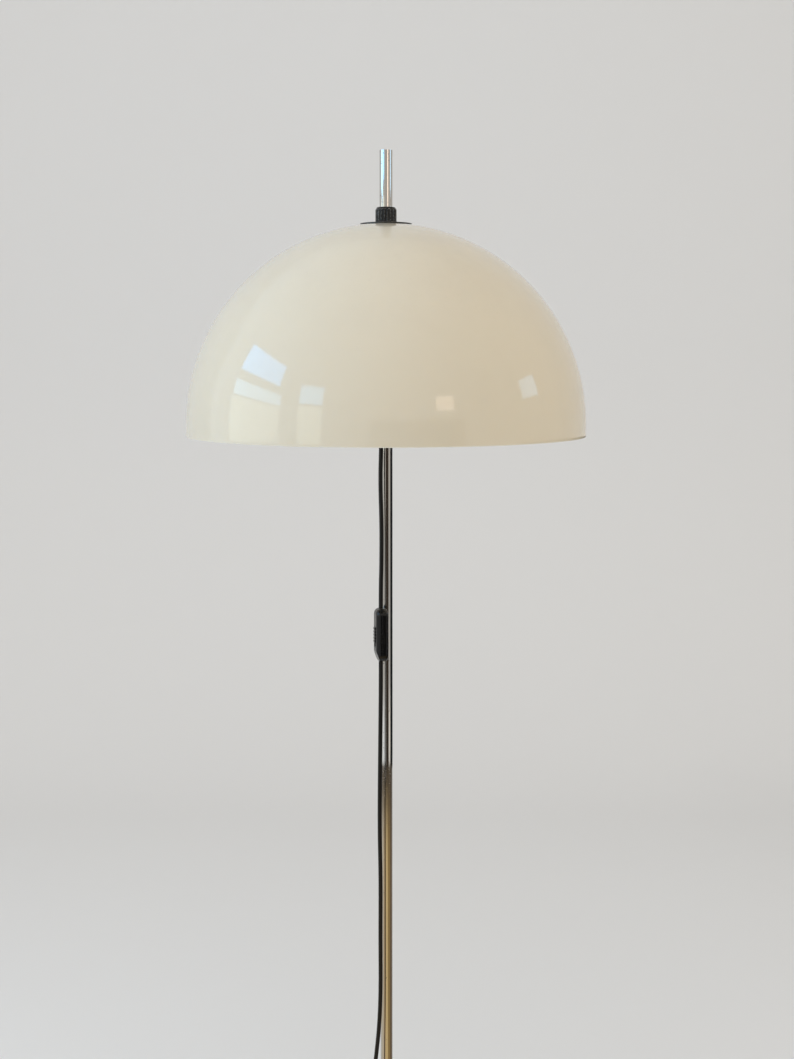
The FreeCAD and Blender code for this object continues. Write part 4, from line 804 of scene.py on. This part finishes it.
# Soft boxes: where each stands, what it looks at, its size in metres and its power in watts.
# The boxes show in the gloss of the shade and the rod, and the plain fills don't.
lamps = {
    "leftHighBox": {"place": (-2.5, -0.63, 2.37), "aim": (0, -0.63, 2.37), "size": (1.5, 0.55),
                    "watts": 11, "colour": (0.05, 0.44, 1.0)},
    "leftMiddleBox": {"place": (-2.5, -0.7, 1.77), "aim": (0, -0.7, 1.77), "size": (1.66, 0.26),
                      "watts": 3.4, "colour": (0.3, 0.66, 1.0)},
    "leftLowBox": {"place": (-2.5, -0.7, 1.28), "aim": (0, -0.7, 1.28), "size": (1.66, 0.66),
                   "watts": 3.6, "colour": (0.9, 1.0, 0.82)},
    "nearHighBox": {"place": (-1.69, -1.98, 1.9), "aim": (0, 0, 1.9), "size": (0.62, 0.44),
                    "watts": 2.6, "colour": (0.18, 0.58, 1.0)},
    "nearLowBox": {"place": (-1.69, -1.98, 1.27), "aim": (0, 0, 1.27), "size": (0.62, 0.72),
                   "watts": 1.8, "colour": (0.9, 1.0, 0.86)},
    "rightBox": {"place": (2.74, -0.16, 1.86), "aim": (0, -0.16, 1.86), "size": (0.6, 0.4),
                 "watts": 1.5, "colour": (0.35, 0.68, 1.0)},
    "frontBox": {"place": (1.48, -2.37, 1.78), "aim": (0, 0, 1.78), "size": (0.48, 0.38),
                 "watts": 1.3, "colour": (1.0, 0.78, 0.62)},
    "topFill": {"place": (-0.4, -1.2, 4.2), "aim": (0, 0, 0.6), "size": (3.2, 3.2),
                "watts": 31, "colour": (1.0, 0.98, 0.95), "hidden": True},
    "leftFill": {"place": (-3.0, -1.6, 1.35), "aim": (0, 0, 1.1), "size": (1.5, 1.5),
                 "watts": 35, "colour": (0.82, 0.89, 1.0), "hidden": True},
    "rightFill": {"place": (3.1, -1.6, 1.35), "aim": (0, 0, 1.1), "size": (1.5, 1.5),
                  "watts": 26, "colour": (1.0, 0.89, 0.73), "hidden": True},
}


def addLamps():
    for name, lamp in lamps.items():
        light = bpy.data.lights.new(name, "AREA")
        light.shape = "RECTANGLE"
        light.size, light.size_y = lamp["size"]
        light.energy = lamp["watts"]
        light.color = lamp["colour"]
        holder = bpy.data.objects.new(name, light)
        holder.location = lamp["place"]
        way = Vector(lamp["aim"]) - Vector(lamp["place"])
        holder.rotation_euler = way.to_track_quat("-Z", "Y").to_euler()
        holder.visible_glossy = not lamp.get("hidden", False)
        scene.collection.objects.link(holder)


addLamps()
print("lamps placed")

# Cards that only show in gloss: dark ones stand around the lamp and brown ones lie on the
# floor, so that the chrome has its stripes. Each strip runs between two (reach, height) lines.
standSizes = {"near": (2.49, 0.004), "roughness": 0.9, "steps": 8, "crease": 60}
matSizes = {**standSizes, "near": (0.5, 0.004), "far": (2.5, 0.012), "fade": (1.55, 2.45),
            "fadeColour": (84, 73, 60)}
cards = {
    "rearCard": {**standSizes, "bearings": (78, 160), "far": (2.49, 0.94), "colour": (34, 37, 42)},
    "frontCard": {**standSizes, "bearings": (-8, 42), "far": (2.49, 1.34), "colour": (62, 50, 40)},
    "paleMat": {**matSizes, "bearings": (-118, -56), "colour": (216, 202, 180)},
    "tanMat": {**matSizes, "bearings": (-56, -24), "colour": (176, 150, 116)},
    "goldMat": {**matSizes, "bearings": (-24, 26), "colour": (228, 198, 142)},
    "brownMat": {**matSizes, "bearings": (26, 66), "colour": (162, 134, 82)},
    "umberMat": {**matSizes, "bearings": (66, 122), "colour": (122, 103, 82)},
}


def addCard(name, card):
    first, last = card["bearings"]
    steps = card["steps"]
    work = bmesh.new()
    lines = []
    for reach, height in (card["near"], card["far"]):
        bearings = [math.radians(first + (last - first) * i / steps) for i in range(steps + 1)]
        lines.append([work.verts.new((reach * math.sin(b), -reach * math.cos(b), height)) for b in bearings])
    for i in range(steps):
        work.faces.new((lines[0][i], lines[0][i + 1], lines[1][i + 1], lines[1][i]))
    panel = addPiece(name, finishMesh(name, work, card["crease"]))
    finish, tree, shader = openFinish(name, {"Roughness": card["roughness"]})
    cloth = placeEffect(tree, toneDrift, Color=linear(card["colour"]), Spread=0.08,
                        Scale=5.0).outputs["Color"]
    if "fade" in card:  # a mat darkens away from the lamp
        where = addNode(tree, "TexCoord").outputs["Object"]
        away = feed(tree, addNode(tree, "VectorMath", operation="LENGTH"), {0: where}).outputs["Value"]
        cloth = mixColour(tree, ramp(tree, away, *card["fade"]), cloth, linear(card["fadeColour"]))
    feed(tree, shader, {"Base Color": cloth})
    panel.data.materials.append(finish)
    panel.visible_camera = panel.visible_diffuse = panel.visible_shadow = False
    panel.visible_transmission = panel.visible_volume_scatter = False


for cardName, card in cards.items():
    addCard(cardName, card)
print("cards placed")


# The air around the stage: a warm grey that turns cooler and paler behind the lamp's left.
airLook = {
    "colour": (214, 208, 199),
    "cool": (240, 244, 246),
    "towards": (-0.86, 0.5, 0.08),
    "blend": (0.1, 0.9),
    "strength": 0.85,
}


def addAir():
    world = bpy.data.worlds.new("studioAir")
    scene.world = world
    world.use_nodes = True
    tree = world.node_tree
    way = addNode(tree, "VectorMath", operation="DOT_PRODUCT")
    feed(tree, way, {0: addNode(tree, "TexCoord").outputs["Generated"], 1: airLook["towards"]})
    share = ramp(tree, way.outputs["Value"], *airLook["blend"])
    colour = mixColour(tree, share, linear(airLook["colour"]), linear(airLook["cool"]))
    air = tree.nodes["Background"]
    air.inputs["Strength"].default_value = airLook["strength"]
    tree.links.new(colour, air.inputs["Color"])


addAir()
print("air in place")
